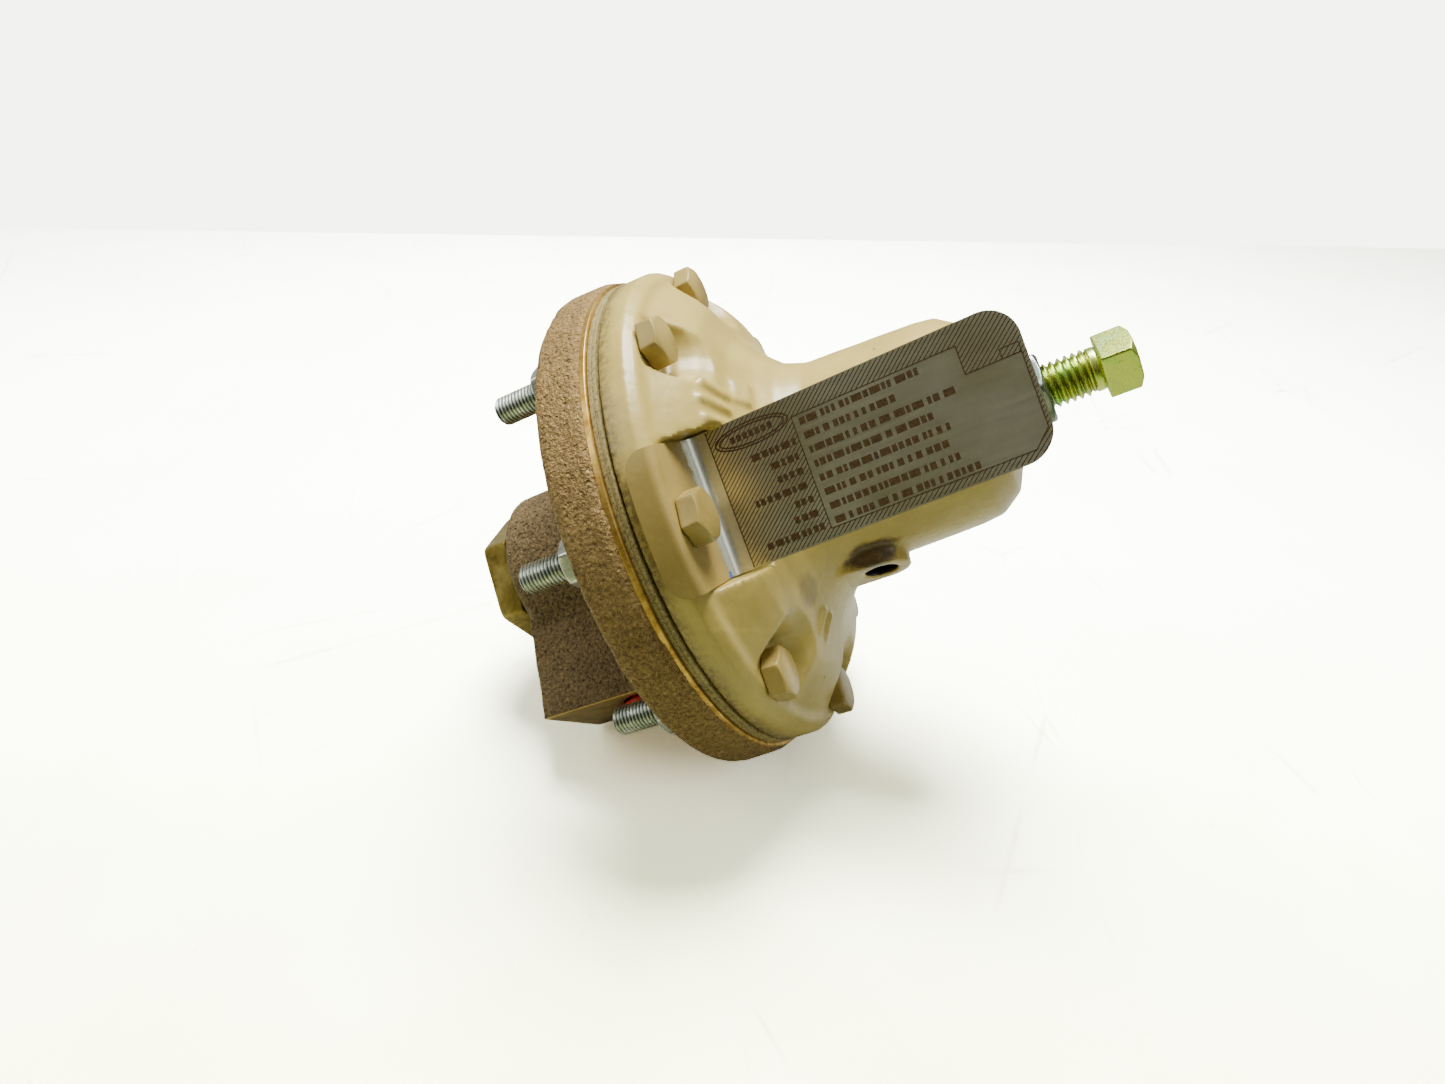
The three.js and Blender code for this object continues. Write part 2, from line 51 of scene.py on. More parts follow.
# ---------- driving dimensions, millimetres, as in the CAD part ----------
JOINT_Z = 75.0  # plane between the diaphragm and the spring chamber
SEAT_Z = 85.3  # bolt seats on the spring chamber
FLANGE_BOTTOM_Z = 57.0
RIM_R = 71.6  # edge of the spring chamber's flange
GAP = 0.3  # clearance between pieces that touch

BOLT_COUNT = 8
FIRST_BOLT_ANGLE = 22.5
BOLT_CIRCLE_R = 63.5
BOLT_R = 3.97
BOLT_PITCH = 25.4 / 24
BOLT_END_Z = 39.4
BOLT_THREAD_TOP_Z = 61.2  # hidden in the flange
HEAD_HEIGHT = 5.2
HEX_FLATS = 12.7
NUT_HEIGHT = 6.75
NUT_TOP_Z = 60.0
HEAD_TURNS = [23, 8, 31, 52, 47, 26, 40, 15]  # how far each head and nut was turned when tightened, degrees
NUT_TURNS = [11, 34, 57, 20, 43, 45.5, 6.5, 54.5]
HEX_CORNER = 30  # from the middle of a hexagon's side to its corner, degrees
HEX_BEVEL = 0.93  # radius of the washer face over half the flats

BONNET_BORE_R = 23.5
BONNET_ROOF_Z = 152.6
VENT_Z = 115.5
VENT_R = 4.6

SCREW_R = 6.35
SCREW_PITCH = 25.4 / 13
SCREW_TIP_Z = 150.2
NECK_R = 6.0
NECK_Z = 184.0
SQUARE_Z = 186.3
SQUARE_SIDE = 12.7
SQUARE_TURN = 11.0
SCREW_TOP_Z = 195.3
WASHER_R = (6.7, 11.4)
WASHER_Z = (161.0, 162.6)
LOCK_NUT_Z = (162.9, 172.2)
LOCK_NUT_FLATS = 19.05
LOCK_NUT_TURN = 20

CAP_FLATS = 38.1
CAP_HEIGHT = 8.0
CAP_TURN = 43.6

PORT_Z = 41.5
PORT_FACE_X = 50.0
PORT_BLOCK_HALF = 15.7

RANGE_COIL_Z = (JOINT_Z + 3.5, JOINT_Z + 69.4)
PISTON_COIL_Z = (5.2, 33.0)

PLATE_ANGLE = -67.5
PLATE_HALF = 18.3
PLATE_SHIFT = -1.0  # the sheet sits a little to one side of its bolt
PLATE_THICK = 0.8
PLATE_MID = 45.4  # middle of the standing sheet, from the valve axis
PLATE_TOP_Z = 170.0
PLATE_LIP_Z = 78.6
PLATE_LEAN = math.tan(math.radians(-1.6))
PLATE_CORNER_R = 8.0
LIP_CORNER_R = 5.0
AXIS_OUT = Vector((math.cos(math.radians(PLATE_ANGLE)), math.sin(math.radians(PLATE_ANGLE)), 0))
ACROSS = Vector((-AXIS_OUT.y, AXIS_OUT.x, 0))

# ---------- how the valve lies in the picture ----------
# it lies on a bolt end, the flange rim and the port block, so up is not the valve's own axis
UP = Vector((-0.5971, -0.6330, 0.4928)).normalized()
CAMERA_PLACE = Vector((0.10403, -0.24958, 0.16661))  # metres
CAMERA_RIGHT = Vector((0.20523, 0.41596, 0.88592)).normalized()
CAMERA_UP = Vector((-0.92110, -0.22390, 0.31851))
CAMERA_LENS = 23.35
SENSOR_WIDTH = 36.0
TARGET = Vector((0, 0, 0.08))  # a point on the valve axis that the lights aim at


def make_camera():
    data = bpy.data.cameras.new("camera")
    data.sensor_width = SENSOR_WIDTH
    data.lens = CAMERA_LENS
    data.clip_start = 0.01
    data.clip_end = 20.0
    cam = bpy.data.objects.new("camera", data)
    bpy.context.scene.collection.objects.link(cam)
    back = CAMERA_RIGHT.cross(CAMERA_UP).normalized()
    up = back.cross(CAMERA_RIGHT)
    turn = Matrix((CAMERA_RIGHT, up, back)).transposed().to_4x4()
    cam.matrix_world = Matrix.Translation(CAMERA_PLACE) @ turn
    bpy.context.scene.camera = cam
    return cam


camera = make_camera()


# ---------- node materials ----------
MIX_SOCKETS = {"FLOAT": (2, 3, 0), "VECTOR": (4, 5, 1), "RGBA": (6, 7, 2)}  # inputs a and b, and the output


def feed(tree, socket, value):
    """Gives an input another node's output, or a plain value."""
    if isinstance(value, bpy.types.NodeSocket):
        tree.links.new(value, socket)
    elif value is not None:
        socket.default_value = value


def add_node(tree, kind, inputs=None, **props):
    node = tree.nodes.new(kind)
    for key, value in props.items():
        setattr(node, key, value)
    for key, value in (inputs or {}).items():
        feed(tree, node.inputs[key], value)
    return node


def linear(colour):
    """A colour written as six hexadecimal digits, for a socket. A node's output is left as it is."""
    if not isinstance(colour, str):
        return colour
    parts = [int(colour[i:i + 2], 16) / 255 for i in (0, 2, 4)]
    return (*[v / 12.92 if v <= 0.04045 else ((v + 0.055) / 1.055) ** 2.4 for v in parts], 1)


class Look:
    """A material and short ways to add nodes to it. Coordinates are the part's own, in metres."""

    def __init__(self, name):
        self.mat = bpy.data.materials.new(name)
        self.mat.use_nodes = True
        self.tree = self.mat.node_tree
        self.bsdf = self.tree.nodes["Principled BSDF"]
        self.coord = self.node("ShaderNodeTexCoord").outputs["Object"]

    def node(self, kind, inputs=None, **props):
        return add_node(self.tree, kind, inputs, **props)

    def noise(self, scale, detail=4.0, rough=0.6, distort=0.0, vec=None):
        inputs = {"Vector": vec or self.coord, "Scale": scale, "Detail": detail, "Roughness": rough,
                  "Distortion": distort}
        return self.node("ShaderNodeTexNoise", inputs).outputs["Fac"]

    def voronoi(self, scale, feature="F1", vec=None):
        inputs = {"Vector": vec or self.coord, "Scale": scale}
        return self.node("ShaderNodeTexVoronoi", inputs, feature=feature).outputs["Distance"]

    def stretched(self, scale, turn=0.0):
        """The part's coordinates, scaled on each axis and turned about Z."""
        inputs = {"Vector": self.coord, "Rotation": (0, 0, turn), "Scale": scale}
        return self.node("ShaderNodeMapping", inputs).outputs[0]

    def math(self, op, a, b=0.0):
        return self.node("ShaderNodeMath", {0: a, 1: b}, operation=op).outputs[0]

    def plus(self, a, b):
        return self.math("ADD", a, b)

    def times(self, a, b):
        return self.math("MULTIPLY", a, b)

    def vector(self, op, a, b=None):
        return self.node("ShaderNodeVectorMath", {0: a, 1: b}, operation=op)

    def scaled(self, colour, factor):
        return self.node("ShaderNodeVectorMath", {0: colour, 3: factor}, operation="SCALE").outputs[0]

    def ragged(self, scale, detail, rough, size):
        """Noise about zero, to make an edge uneven by about half of size."""
        return self.times(self.math("SUBTRACT", self.noise(scale, detail, rough), 0.5), size)

    def ramp(self, fac, low, high, to_low=0.0, to_high=1.0):
        inputs = {"Value": fac, "From Min": low, "From Max": high, "To Min": to_low, "To Max": to_high}
        return self.node("ShaderNodeMapRange", inputs, interpolation_type="SMOOTHSTEP").outputs["Result"]

    def colours(self, fac, stops):
        n = self.node("ShaderNodeValToRGB", {"Fac": fac})
        marks = n.color_ramp.elements
        while len(marks) < len(stops):
            marks.new(0.5)
        for i, (position, colour) in enumerate(stops):
            marks[i].position = position
            marks[i].color = linear(colour)
        return n.outputs["Color"]

    def mix(self, fac, a, b, kind="RGBA"):
        low, high, out = MIX_SOCKETS[kind]
        n = self.node("ShaderNodeMix", {0: fac, low: linear(a), high: linear(b)}, data_type=kind)
        return n.outputs[out]

    def along(self, direction):
        """How far a point lies along a direction, in millimetres."""
        way = Vector(direction).normalized() * PER_METRE
        return self.vector("DOT_PRODUCT", self.coord, way).outputs["Value"]

    def height(self):
        return self.along((0, 0, 1))

    def radius(self):
        """Distance from the valve axis, in millimetres."""
        flat = self.vector("MULTIPLY", self.coord, Vector((1, 1, 0)) * PER_METRE)
        return self.vector("LENGTH", flat.outputs[0]).outputs["Value"]

    def near(self, point, stretch):
        """Distance from a point in units of stretch, a size for each axis in millimetres."""
        away = self.vector("SUBTRACT", self.coord, Vector(point) * MM)
        sized = self.vector("MULTIPLY", away.outputs[0], Vector([PER_METRE / size for size in stretch]))
        return self.vector("LENGTH", sized.outputs[0]).outputs["Value"]

    def bump(self, height, distance, strength=1.0):
        inputs = {"Height": height, "Distance": distance * MM, "Strength": strength}
        return self.node("ShaderNodeBump", inputs).outputs["Normal"]

    def done(self, colour, rough, metal, normal, **plain):
        values = {"Base Color": linear(colour), "Roughness": rough, "Metallic": metal, "Normal": normal}
        for key, value in values.items():
            feed(self.tree, self.bsdf.inputs[key], value)
        for key, value in plain.items():
            self.bsdf.inputs[key.replace("_", " ")].default_value = value
        return self.mat


def cast_bronze():
    k = Look("cast_bronze")
    grain = k.noise(980, 3, 0.65)
    sand = k.noise(2600, 2, 0.6)
    blotch = k.noise(110, 4, 0.6)
    # sand pits with crooked outlines
    bend = k.node("ShaderNodeTexNoise", {"Vector": k.coord, "Scale": 500.0}).outputs["Color"]
    reach = [1.6 * MM] * 3
    crooked = k.node("ShaderNodeVectorMath", {0: bend, 1: reach, 2: k.coord}, operation="MULTIPLY_ADD")
    pits = k.ramp(k.voronoi(520, vec=crooked.outputs[0]), 0.08, 0.34)
    # the colour is partly painted shade and highlight: darker in the grain's hollows and lighter on its
    # peaks; the blotches are the metal's own tone
    grain_shade_and_tone = k.plus(k.plus(k.times(grain, 0.62), k.times(blotch, 0.18)), k.times(sand, 0.2))
    cast = k.colours(grain_shade_and_tone, [(0.34, "4b3b22"), (0.46, "695636"), (0.54, "7b6542"), (0.68, "987f54")])
    # painted shade: the sand pits are coloured dark, as shaded hollows
    cast = k.mix(k.times(k.math("SUBTRACT", 1.0, pits), 0.5), cast, "2c2013")
    # the flange is more golden than the hub and the port block, which are also coloured darker as painted
    # shade
    high = k.height()
    rim = k.ramp(high, FLANGE_BOTTOM_Z - 3.0, FLANGE_BOTTOM_Z + 1.0)
    golden = k.colours(grain_shade_and_tone, [(0.34, "6b522b"), (0.46, "876b3b"), (0.54, "977a45"), (0.68, "b7975a")])
    cast = k.mix(k.times(rim, 0.85), cast, golden)
    # the two port faces are machined
    end = k.ramp(k.math("ABSOLUTE", k.along((1, 0, 0))), PORT_FACE_X - 0.5, PORT_FACE_X - 0.2)
    below = k.ramp(high, FLANGE_BOTTOM_Z - 0.2, FLANGE_BOTTOM_Z + 0.4, 1.0, 0.0)
    from_middle = k.math("ABSOLUTE", k.along((0, 1, 0)))
    beside = k.ramp(from_middle, PORT_BLOCK_HALF + 0.9, PORT_BLOCK_HALF + 1.3, 1.0, 0.0)
    face = k.times(end, k.times(below, beside))
    machined = k.colours(k.noise(160, 3, 0.5), [(0.3, "b7954f"), (0.7, "d8b873")])
    # a painted reflection of the red plug in the bright machined metal round it
    plug_reflection_reach = (20, 17, 17)
    from_port = k.math("MINIMUM", k.near((PORT_FACE_X, 0, PORT_Z), plug_reflection_reach),
                       k.near((-PORT_FACE_X, 0, PORT_Z), plug_reflection_reach))
    machined = k.mix(k.ramp(from_port, 0.66, 0.95, 0.6, 0.0), machined, "8e1c10")
    colour = k.mix(face, cast, machined)
    relief = k.plus(k.plus(grain, k.times(pits, 0.5)), k.times(sand, 0.25))
    normal = k.mix(face, k.bump(relief, 1.2, 1.0), k.bump(k.noise(900, 2), 0.03, 0.4), "VECTOR")
    rough = k.mix(face, k.ramp(grain, 0.3, 0.7, 0.75, 0.5), 0.3, "FLOAT")
    return k.done(colour, rough, k.mix(face, 0.35, 0.75, "FLOAT"), normal)


def turned_land():
    k = Look("turned_bronze")
    wear = k.noise(240, 4, 0.65)
    dirt = k.ramp(k.noise(900, 4, 0.7), 0.56, 0.72)
    gold = k.colours(wear, [(0.3, "9c7834"), (0.5, "cba352"), (0.72, "e8c878")])
    colour = k.mix(k.times(dirt, 0.55), gold, "5c4526")
    tool_marks = k.noise(60, 2, 0.5, vec=k.stretched((1, 1, 120)))
    return k.done(colour, k.ramp(wear, 0.3, 0.7, 0.42, 0.28), 0.85, k.bump(tool_marks, 0.06, 0.5))


def paint(name, tint, shade):
    """Sprayed paint over a casting: its Look, colour and normal, to be finished by the caller."""
    k = Look(name)
    peel = k.noise(620, 2, 0.45)
    lumps = k.noise(210, 3, 0.5)
    colour = k.colours(k.noise(60, 3, 0.5), [(0.35, shade), (0.6, tint)])
    pinholes = k.times(k.math("SUBTRACT", 1.0, k.ramp(k.voronoi(95), 0.030, 0.048)),
                       k.ramp(k.noise(40, 2), 0.5, 0.56))
    colour = k.mix(k.times(pinholes, 0.9), colour, "3a2a18")
    relief = k.math("SUBTRACT", k.plus(k.times(peel, 0.35), lumps), k.times(pinholes, 1.5))
    return k, colour, k.bump(relief, 0.22, 0.55)


def chamber_paint():
    k, colour, normal = paint("tan_paint", "bfa95a", "b09b50")
    # painted shade: thin brown patches beside the vent boss and under the nameplate's edge
    ragged = k.ragged(330, 4, 0.65, 0.8)
    for point, stretch, depth in (
        ((31.0, -7.8, VENT_Z), (5.5, 4.6, 9.5), 0.94),
        ((42.0, -19.0, 99.5), (11.0, 6.0, 2.6), 0.40),
    ):
        spot = k.plus(k.near(point, stretch), ragged)
        colour = k.mix(k.ramp(spot, 0.62, 1.08, depth, 0.0), colour, "4a3520")
    # darker, speckled band at the foot of the rim, with a ragged top edge
    rise = k.plus(k.height(), k.ragged(60, 4, 0.6, 6.0))
    foot = k.times(k.ramp(rise, JOINT_Z + 1.0, JOINT_Z + 5.8, 1.0, 0.0),
                   k.ramp(k.noise(700, 4, 0.7), 0.40, 0.6, 0.45, 0.95))
    outer = k.ramp(k.radius(), RIM_R - 3.6, RIM_R - 1.6)
    colour = k.mix(k.times(foot, outer), colour, "6f5b2e")
    # painted shade: the vent hole is coloured near black and the inside of the chamber dark brown, as shaded
    # hollows
    bore_r = VENT_R + 0.25
    bore = k.ramp(k.near((34.0, 0.0, VENT_Z), (60.0, bore_r, bore_r)), 0.97, 1.0, 1.0, 0.0)
    colour = k.mix(k.times(bore, k.ramp(k.along((1, 0, 0)), 20.0, 21.0)), colour, "120d08")
    inside = k.ramp(k.radius(), BONNET_BORE_R + 0.5, BONNET_BORE_R + 2.7, 1.0, 0.0)
    under_roof = k.ramp(k.height(), BONNET_ROOF_Z - 0.6, BONNET_ROOF_Z + 1.4, 1.0, 0.0)
    colour = k.mix(k.times(inside, under_roof), colour, "2e2318")
    return k.done(colour, 0.36, 0.0, normal, Coat_Weight=0.15, Coat_Roughness=0.12)


def bolt_paint():
    k, colour, normal = paint("bolt_paint", "a8924f", "8a753a")
    worn = k.ramp(k.noise(260, 5, 0.7), 0.63, 0.7)
    colour = k.mix(k.times(worn, 0.5), colour, "8a6d3e")
    return k.done(colour, 0.38, 0.0, normal, Coat_Weight=0.12, Coat_Roughness=0.15)


def rim_band():
    k = Look("painted_gasket_edge")
    speck = k.noise(1500, 4, 0.75)
    colour = k.colours(speck, [(0.32, "3a311b"), (0.46, "7f7143"), (0.62, "a29159")])
    colour = k.mix(k.ramp(k.noise(130, 3, 0.6), 0.5, 0.75, 0.0, 0.6), colour, "b3a06a")
    return k.done(colour, 0.6, 0.0, k.bump(speck, 0.12, 0.7))


def zinc(name, light="eff2ec", dark="b3bdb4", stain="85938a"):
    k = Look(name)
    cloud = k.noise(320, 4, 0.6)
    colour = k.colours(cloud, [(0.32, dark), (0.62, light)])
    colour = k.mix(k.ramp(k.noise(700, 4, 0.7), 0.62, 0.75, 0.0, 0.5), colour, stain)
    fine = k.noise(2600, 3, 0.6)
    return k.done(colour, k.ramp(cloud, 0.3, 0.7, 0.38, 0.22), 0.95, k.bump(fine, 0.04, 0.5))


def yellow_zinc():
    k = Look("yellow_zinc")
    colour = k.colours(k.noise(95, 3, 0.55, 0.8), [(0.30, "a9dba4"), (0.42, "b4d45a"), (0.52, "c9d86a"),
                                                  (0.62, "c2cf6c"), (0.74, "addfae")])
    # painted shade in the roots of the thread, but not on the neck above it
    below_neck = k.ramp(k.height(), NECK_Z - 0.2, NECK_Z + 0.2, 1.0, 0.0)
    root = k.times(k.ramp(k.radius(), SCREW_R - 0.85, SCREW_R - 0.2, 0.6, 0.0), below_neck)
    colour = k.mix(root, colour, "7d7a38")
    colour = k.mix(k.ramp(k.noise(420, 5, 0.7), 0.60, 0.70, 0.0, 0.55), colour, "5f5a34")
    fine = k.noise(1900, 3, 0.6)
    return k.done(colour, k.ramp(fine, 0.3, 0.7, 0.34, 0.22), 0.92, k.bump(fine, 0.05, 0.5))


def brass_cap():
    k = Look("brass")
    colour = k.colours(k.noise(150, 4, 0.6), [(0.3, "7d6a2c"), (0.5, "a18b41"), (0.7, "c2ad62")])
    # a dark spot on the side that faces the camera
    uneven = k.times(k.noise(900, 4, 0.7), 0.6)
    from_spot = k.plus(k.near((-3.0, -19.0, 3.0), (2.4, 2.4, 3.4)), uneven)
    colour = k.mix(k.ramp(from_spot, 0.7, 1.1, 0.7, 0.0), colour, "4b3a1a")
    streak = k.noise(1, 3, 0.6, vec=k.stretched((300, 300, 2400)))
    return k.done(colour, k.ramp(streak, 0.3, 0.7, 0.45, 0.3), 0.9, k.bump(streak, 0.05, 0.6))


def plate_metal():
    k = Look("stainless_sheet")
    high = k.height()
    brushed = k.noise(1, 3, 0.65, vec=k.stretched((2600, 2600, 60)))
    steel = k.colours(k.noise(34, 2, 0.5), [(0.35, "bdb493"), (0.5, "cbc5aa"), (0.65, "d6d2bd")])
    # a plain strip below the etched part, painted lighter and bluer as a reflection of the bright room above
    steel = k.mix(k.times(k.ramp(high, 91.2, 92.4, 1.0, 0.0), 0.55), steel, "e4eae6")
    # the tab was sprayed with the casting; the paint stops at a torn edge where tape covered the rest
    edge = k.ramp(k.plus(k.along(AXIS_OUT), k.ragged(520, 5, 0.7, 5.0)), 49.6, 50.0)
    covered = k.times(edge, k.ramp(high, SEAT_Z + 2.9, SEAT_Z + 3.5, 1.0, 0.0))
    # painted shade: the tab's tan is darker than the same paint on the casting
    tan = k.colours(k.noise(70, 3, 0.5), [(0.35, "978042"), (0.6, "a58e4f")])
    colour = k.mix(covered, steel, tan)
    # a scrap of blue masking tape left by the bend
    scrap = AXIS_OUT * 49.3 + ACROSS * 16.5 + Vector((0, 0, SEAT_Z + 1.1))
    tape = k.ramp(k.plus(k.near(scrap, (1.3, 1.3, 2.0)), k.ragged(900, 4, 0.7, 1.6)), 0.8, 1.0, 1.0, 0.0)
    colour = k.mix(tape, colour, "2f5fc4")
    matt = k.math("MAXIMUM", covered, tape)
    rough = k.mix(matt, k.ramp(brushed, 0.3, 0.7, 0.30, 0.40), 0.34, "FLOAT")
    relief = k.mix(matt, k.times(brushed, 0.25), k.noise(600, 3, 0.5), "FLOAT")
    return k.done(colour, rough, k.mix(matt, 0.92, 0.0, "FLOAT"), k.bump(relief, 0.12, 0.45))


def etched():
    k = Look("etched_mark")
    burn = k.noise(1800, 3, 0.6)
    colour = k.colours(burn, [(0.3, "3c2b17"), (0.6, "594324"), (0.75, "755d38")])
    return k.done(colour, 0.6, 0.25, k.bump(burn, 0.03, 0.4))


def red_plastic():
    k = Look("red_polyethylene")
    colour = k.colours(k.noise(200, 3, 0.5), [(0.35, "a80f14"), (0.65, "d01a1c")])
    scuff = k.ramp(k.noise(900, 4, 0.7), 0.64, 0.74, 0.0, 0.3)
    colour = k.mix(scuff, colour, "e05a52")
    return k.done(colour, 0.36, 0.0, k.bump(k.noise(500, 3), 0.08, 0.4))


def plain_metal(name, dark, light, rough, scale=400):
    k = Look(name)
    lines = k.noise(1, 2, 0.5, vec=k.stretched((900, 900, 4000)))
    colour = k.colours(k.noise(scale, 4, 0.6), [(0.3, dark), (0.7, light)])
    return k.done(colour, k.ramp(lines, 0.3, 0.7, rough + 0.06, rough - 0.06), 0.92, k.bump(lines, 0.04, 0.5))


def rubber():
    k = Look("rubber")
    weave = k.colours(k.noise(300, 3, 0.6), [(0.3, "141414"), (0.7, "2a2927")])
    return k.done(weave, 0.8, 0.0, k.bump(k.noise(1200, 4, 0.6), 0.05, 0.6))


BRONZE = cast_bronze()
LAND = turned_land()
PAINT = chamber_paint()
BOLT_PAINT = bolt_paint()
BAND = rim_band()
ZINC = zinc("white_zinc")
# a darker copy of the white zinc, as painted shade, for the lock nut
SHADED_ZINC = zinc("shaded_zinc", "87918c", "59635f", "434c48")
# a darker copy of the zinc, as painted shade in the bolts' thread roots
SHADED_THREAD_ROOT = zinc("shaded_thread_root", "9aa39b", "636c65", "4f5850")
YELLOW = yellow_zinc()
BRASS = brass_cap()
PLATE = plate_metal()
ETCH = etched()
RED = red_plastic()
STEEL = plain_metal("machined_steel", "6f7376", "a4a8aa", 0.38)
SPRING = plain_metal("spring_steel", "44474a", "7c8083", 0.42, 250)
INNER_BRASS = plain_metal("turned_brass", "8a7434", "bba45c", 0.36)
STAINLESS = plain_metal("turned_stainless", "8f8f8a", "c0c0ba", 0.32)
RUBBER = rubber()


# ---------- mesh building: a part is a list of points in millimetres and a list of faces ----------
def piece(name, part, mats, body="housing", replaces=(), smooth=40, face_mats=None):
    """Makes a visible piece of the model. One that is blended between two bodies has no body of its own."""
    verts, faces = part
    mesh = bpy.data.meshes.new(name)
    mesh.from_pydata([Vector(v) * MM for v in verts], [], faces)
    for mat in mats:
        mesh.materials.append(mat)
    if face_mats is not None:
        mesh.polygons.foreach_set("material_index", face_mats)
    obj = bpy.data.objects.new(name, mesh)
    bpy.context.scene.collection.objects.link(obj)
    clean(mesh, smooth)
    if body:
        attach(obj, body)
    if replaces:
        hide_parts(*replaces)
    return obj


def clean(mesh, smooth):
    """Welds a mesh, turns its faces outwards and shades it smooth up to an angle, in degrees."""
    bm = bmesh.new()
    bm.from_mesh(mesh)
    bmesh.ops.remove_doubles(bm, verts=bm.verts, dist=2e-6)
    bmesh.ops.dissolve_degenerate(bm, dist=1e-7, edges=bm.edges)
    bmesh.ops.recalc_face_normals(bm, faces=bm.faces)
    sharp = math.radians(smooth)
    for face in bm.faces:
        face.smooth = True
    for edge in bm.edges:
        if len(edge.link_faces) == 2 and edge.calc_face_angle(0) > sharp:
            edge.smooth = False
    bm.to_mesh(mesh)
    bm.free()


def merge(*parts):
    """Joins parts into one."""
    verts, faces = [], []
    for part_verts, part_faces in parts:
        base = len(verts)
        verts.extend(part_verts)
        faces.extend([tuple(i + base for i in face) for face in part_faces])
    return verts, faces


def circle(r, z, count):
    angles = [2 * math.pi * i / count for i in range(count)]
    return [(r * math.cos(a), r * math.sin(a), z) for a in angles]


def rings(loops, closed=False):
    """Skins equal-length loops of points into a grid, capped at both ends or closed round."""
    n = len(loops[0])
    verts = [point for loop in loops for point in loop]
    faces = []
    for k in range(len(loops) if closed else len(loops) - 1):
        a, b = k * n, ((k + 1) % len(loops)) * n
        for i in range(n):
            j = (i + 1) % n
            faces.append((a + i, a + j, b + j, b + i))
    if not closed:
        faces.append(tuple(reversed(range(n))))
        faces.append(tuple(range((len(loops) - 1) * n, len(loops) * n)))
    return verts, faces


def turned(profile, segments=96, closed=False):
    """A solid of revolution from (r, z) points."""
    return rings([circle(r, z, segments) for r, z in profile], closed)


def rounded(points, radius=0.3, closed=False, steps=4):
    """An (r, z) outline with its corners rounded."""
    out = []
    n = len(points)
    for i, point in enumerate(points):
        if not closed and i in (0, n - 1):
            out.append(tuple(point))
            continue
        corner = Vector(point)
        before, after = Vector(points[i - 1]) - corner, Vector(points[(i + 1) % n]) - corner
        cut = min(radius, before.length * 0.45, after.length * 0.45)
        start, end = corner + before.normalized() * cut, corner + after.normalized() * cut
        for k in range(steps + 1):
            t = k / steps
            q = start * (1 - t) ** 2 + corner * 2 * t * (1 - t) + end * t * t
            out.append((q.x, q.y))
    return out


def prism_radius(angle, sides, half_flats, power):
    """Radius of a polygon with eased corners; a higher power makes them sharper."""
    total = 0.0
    for k in range(sides // 2):
        total += abs(math.cos(angle - 2 * math.pi * k / sides)) ** power
    return half_flats / total ** (1 / power)


CHAMFER_SLOPE = math.tan(math.radians(30))
CHAMFER_SPAN = 0.62  # height of the chamfered zone over the corner's overhang, a little more than the slope
CHAMFER_STEPS = 6
CHAMFER_BLEND = 60  # sharpness of the line where the chamfer meets the flats


def prism(sides, flats, low, high, turn, bevel_low=0.0, bevel_high=0.0, hole=None, power=70, segments=120,
          edge=0.35):
    """A hexagon or square with eased corners and turned 30 degree chamfers.

    turn is where its first corner points. A bevel is the radius of that end over half the flats, 0 for none.
    """
    half = flats / 2
    corner = half / math.cos(math.pi / sides)
    first_flat = math.radians(turn) + math.pi / sides
    inward = 0.3 * (high - low)
    levels = [low, low + edge * 0.3, low + edge, low + inward]
    levels += [high - inward, high - edge, high - edge * 0.3, high]
    for k in range(1, CHAMFER_STEPS + 1):
        drop = k * (corner - half) * CHAMFER_SPAN / CHAMFER_STEPS
        levels += [high - drop - edge * 0.3, low + drop + edge * 0.3]
    levels = sorted({round(z, 4) for z in levels if low <= z <= high})
    loops = []
    for z in levels:
        limits = []
        if bevel_high:
            limits.append(half * bevel_high + (high - z) / CHAMFER_SLOPE)
        if bevel_low:
            limits.append(half * bevel_low + (z - low) / CHAMFER_SLOPE)
        ease = edge * 0.35 * max(0.0, 1 - min(z - low, high - z) / edge) ** 2
        loop = []
        for i in range(segments):
            a = 2 * math.pi * i / segments
            r = prism_radius(a - first_flat, sides, half, power) - ease
            for limit in limits:
                r = (r ** -CHAMFER_BLEND + limit ** -CHAMFER_BLEND) ** (-1 / CHAMFER_BLEND)
            loop.append((r * math.cos(a), r * math.sin(a), z))
        loops.append(loop)
    if hole is None:
        return rings(loops)
    bore = [(hole + 0.5, high), (hole, high - 0.5), (hole, low + 0.5), (hole + 0.5, low)]
    return rings(loops + [circle(r, z, segments) for r, z in bore], closed=True)


THREAD_DEPTH = 0.58  # over the pitch
# outline of one turn of the thread: how far along the pitch, and how deep
TOOTH = [(0.0, 0.0), (0.11, 0.0), (0.30, 0.5), (0.48, 1.0), (0.60, 1.0), (0.80, 0.5)]


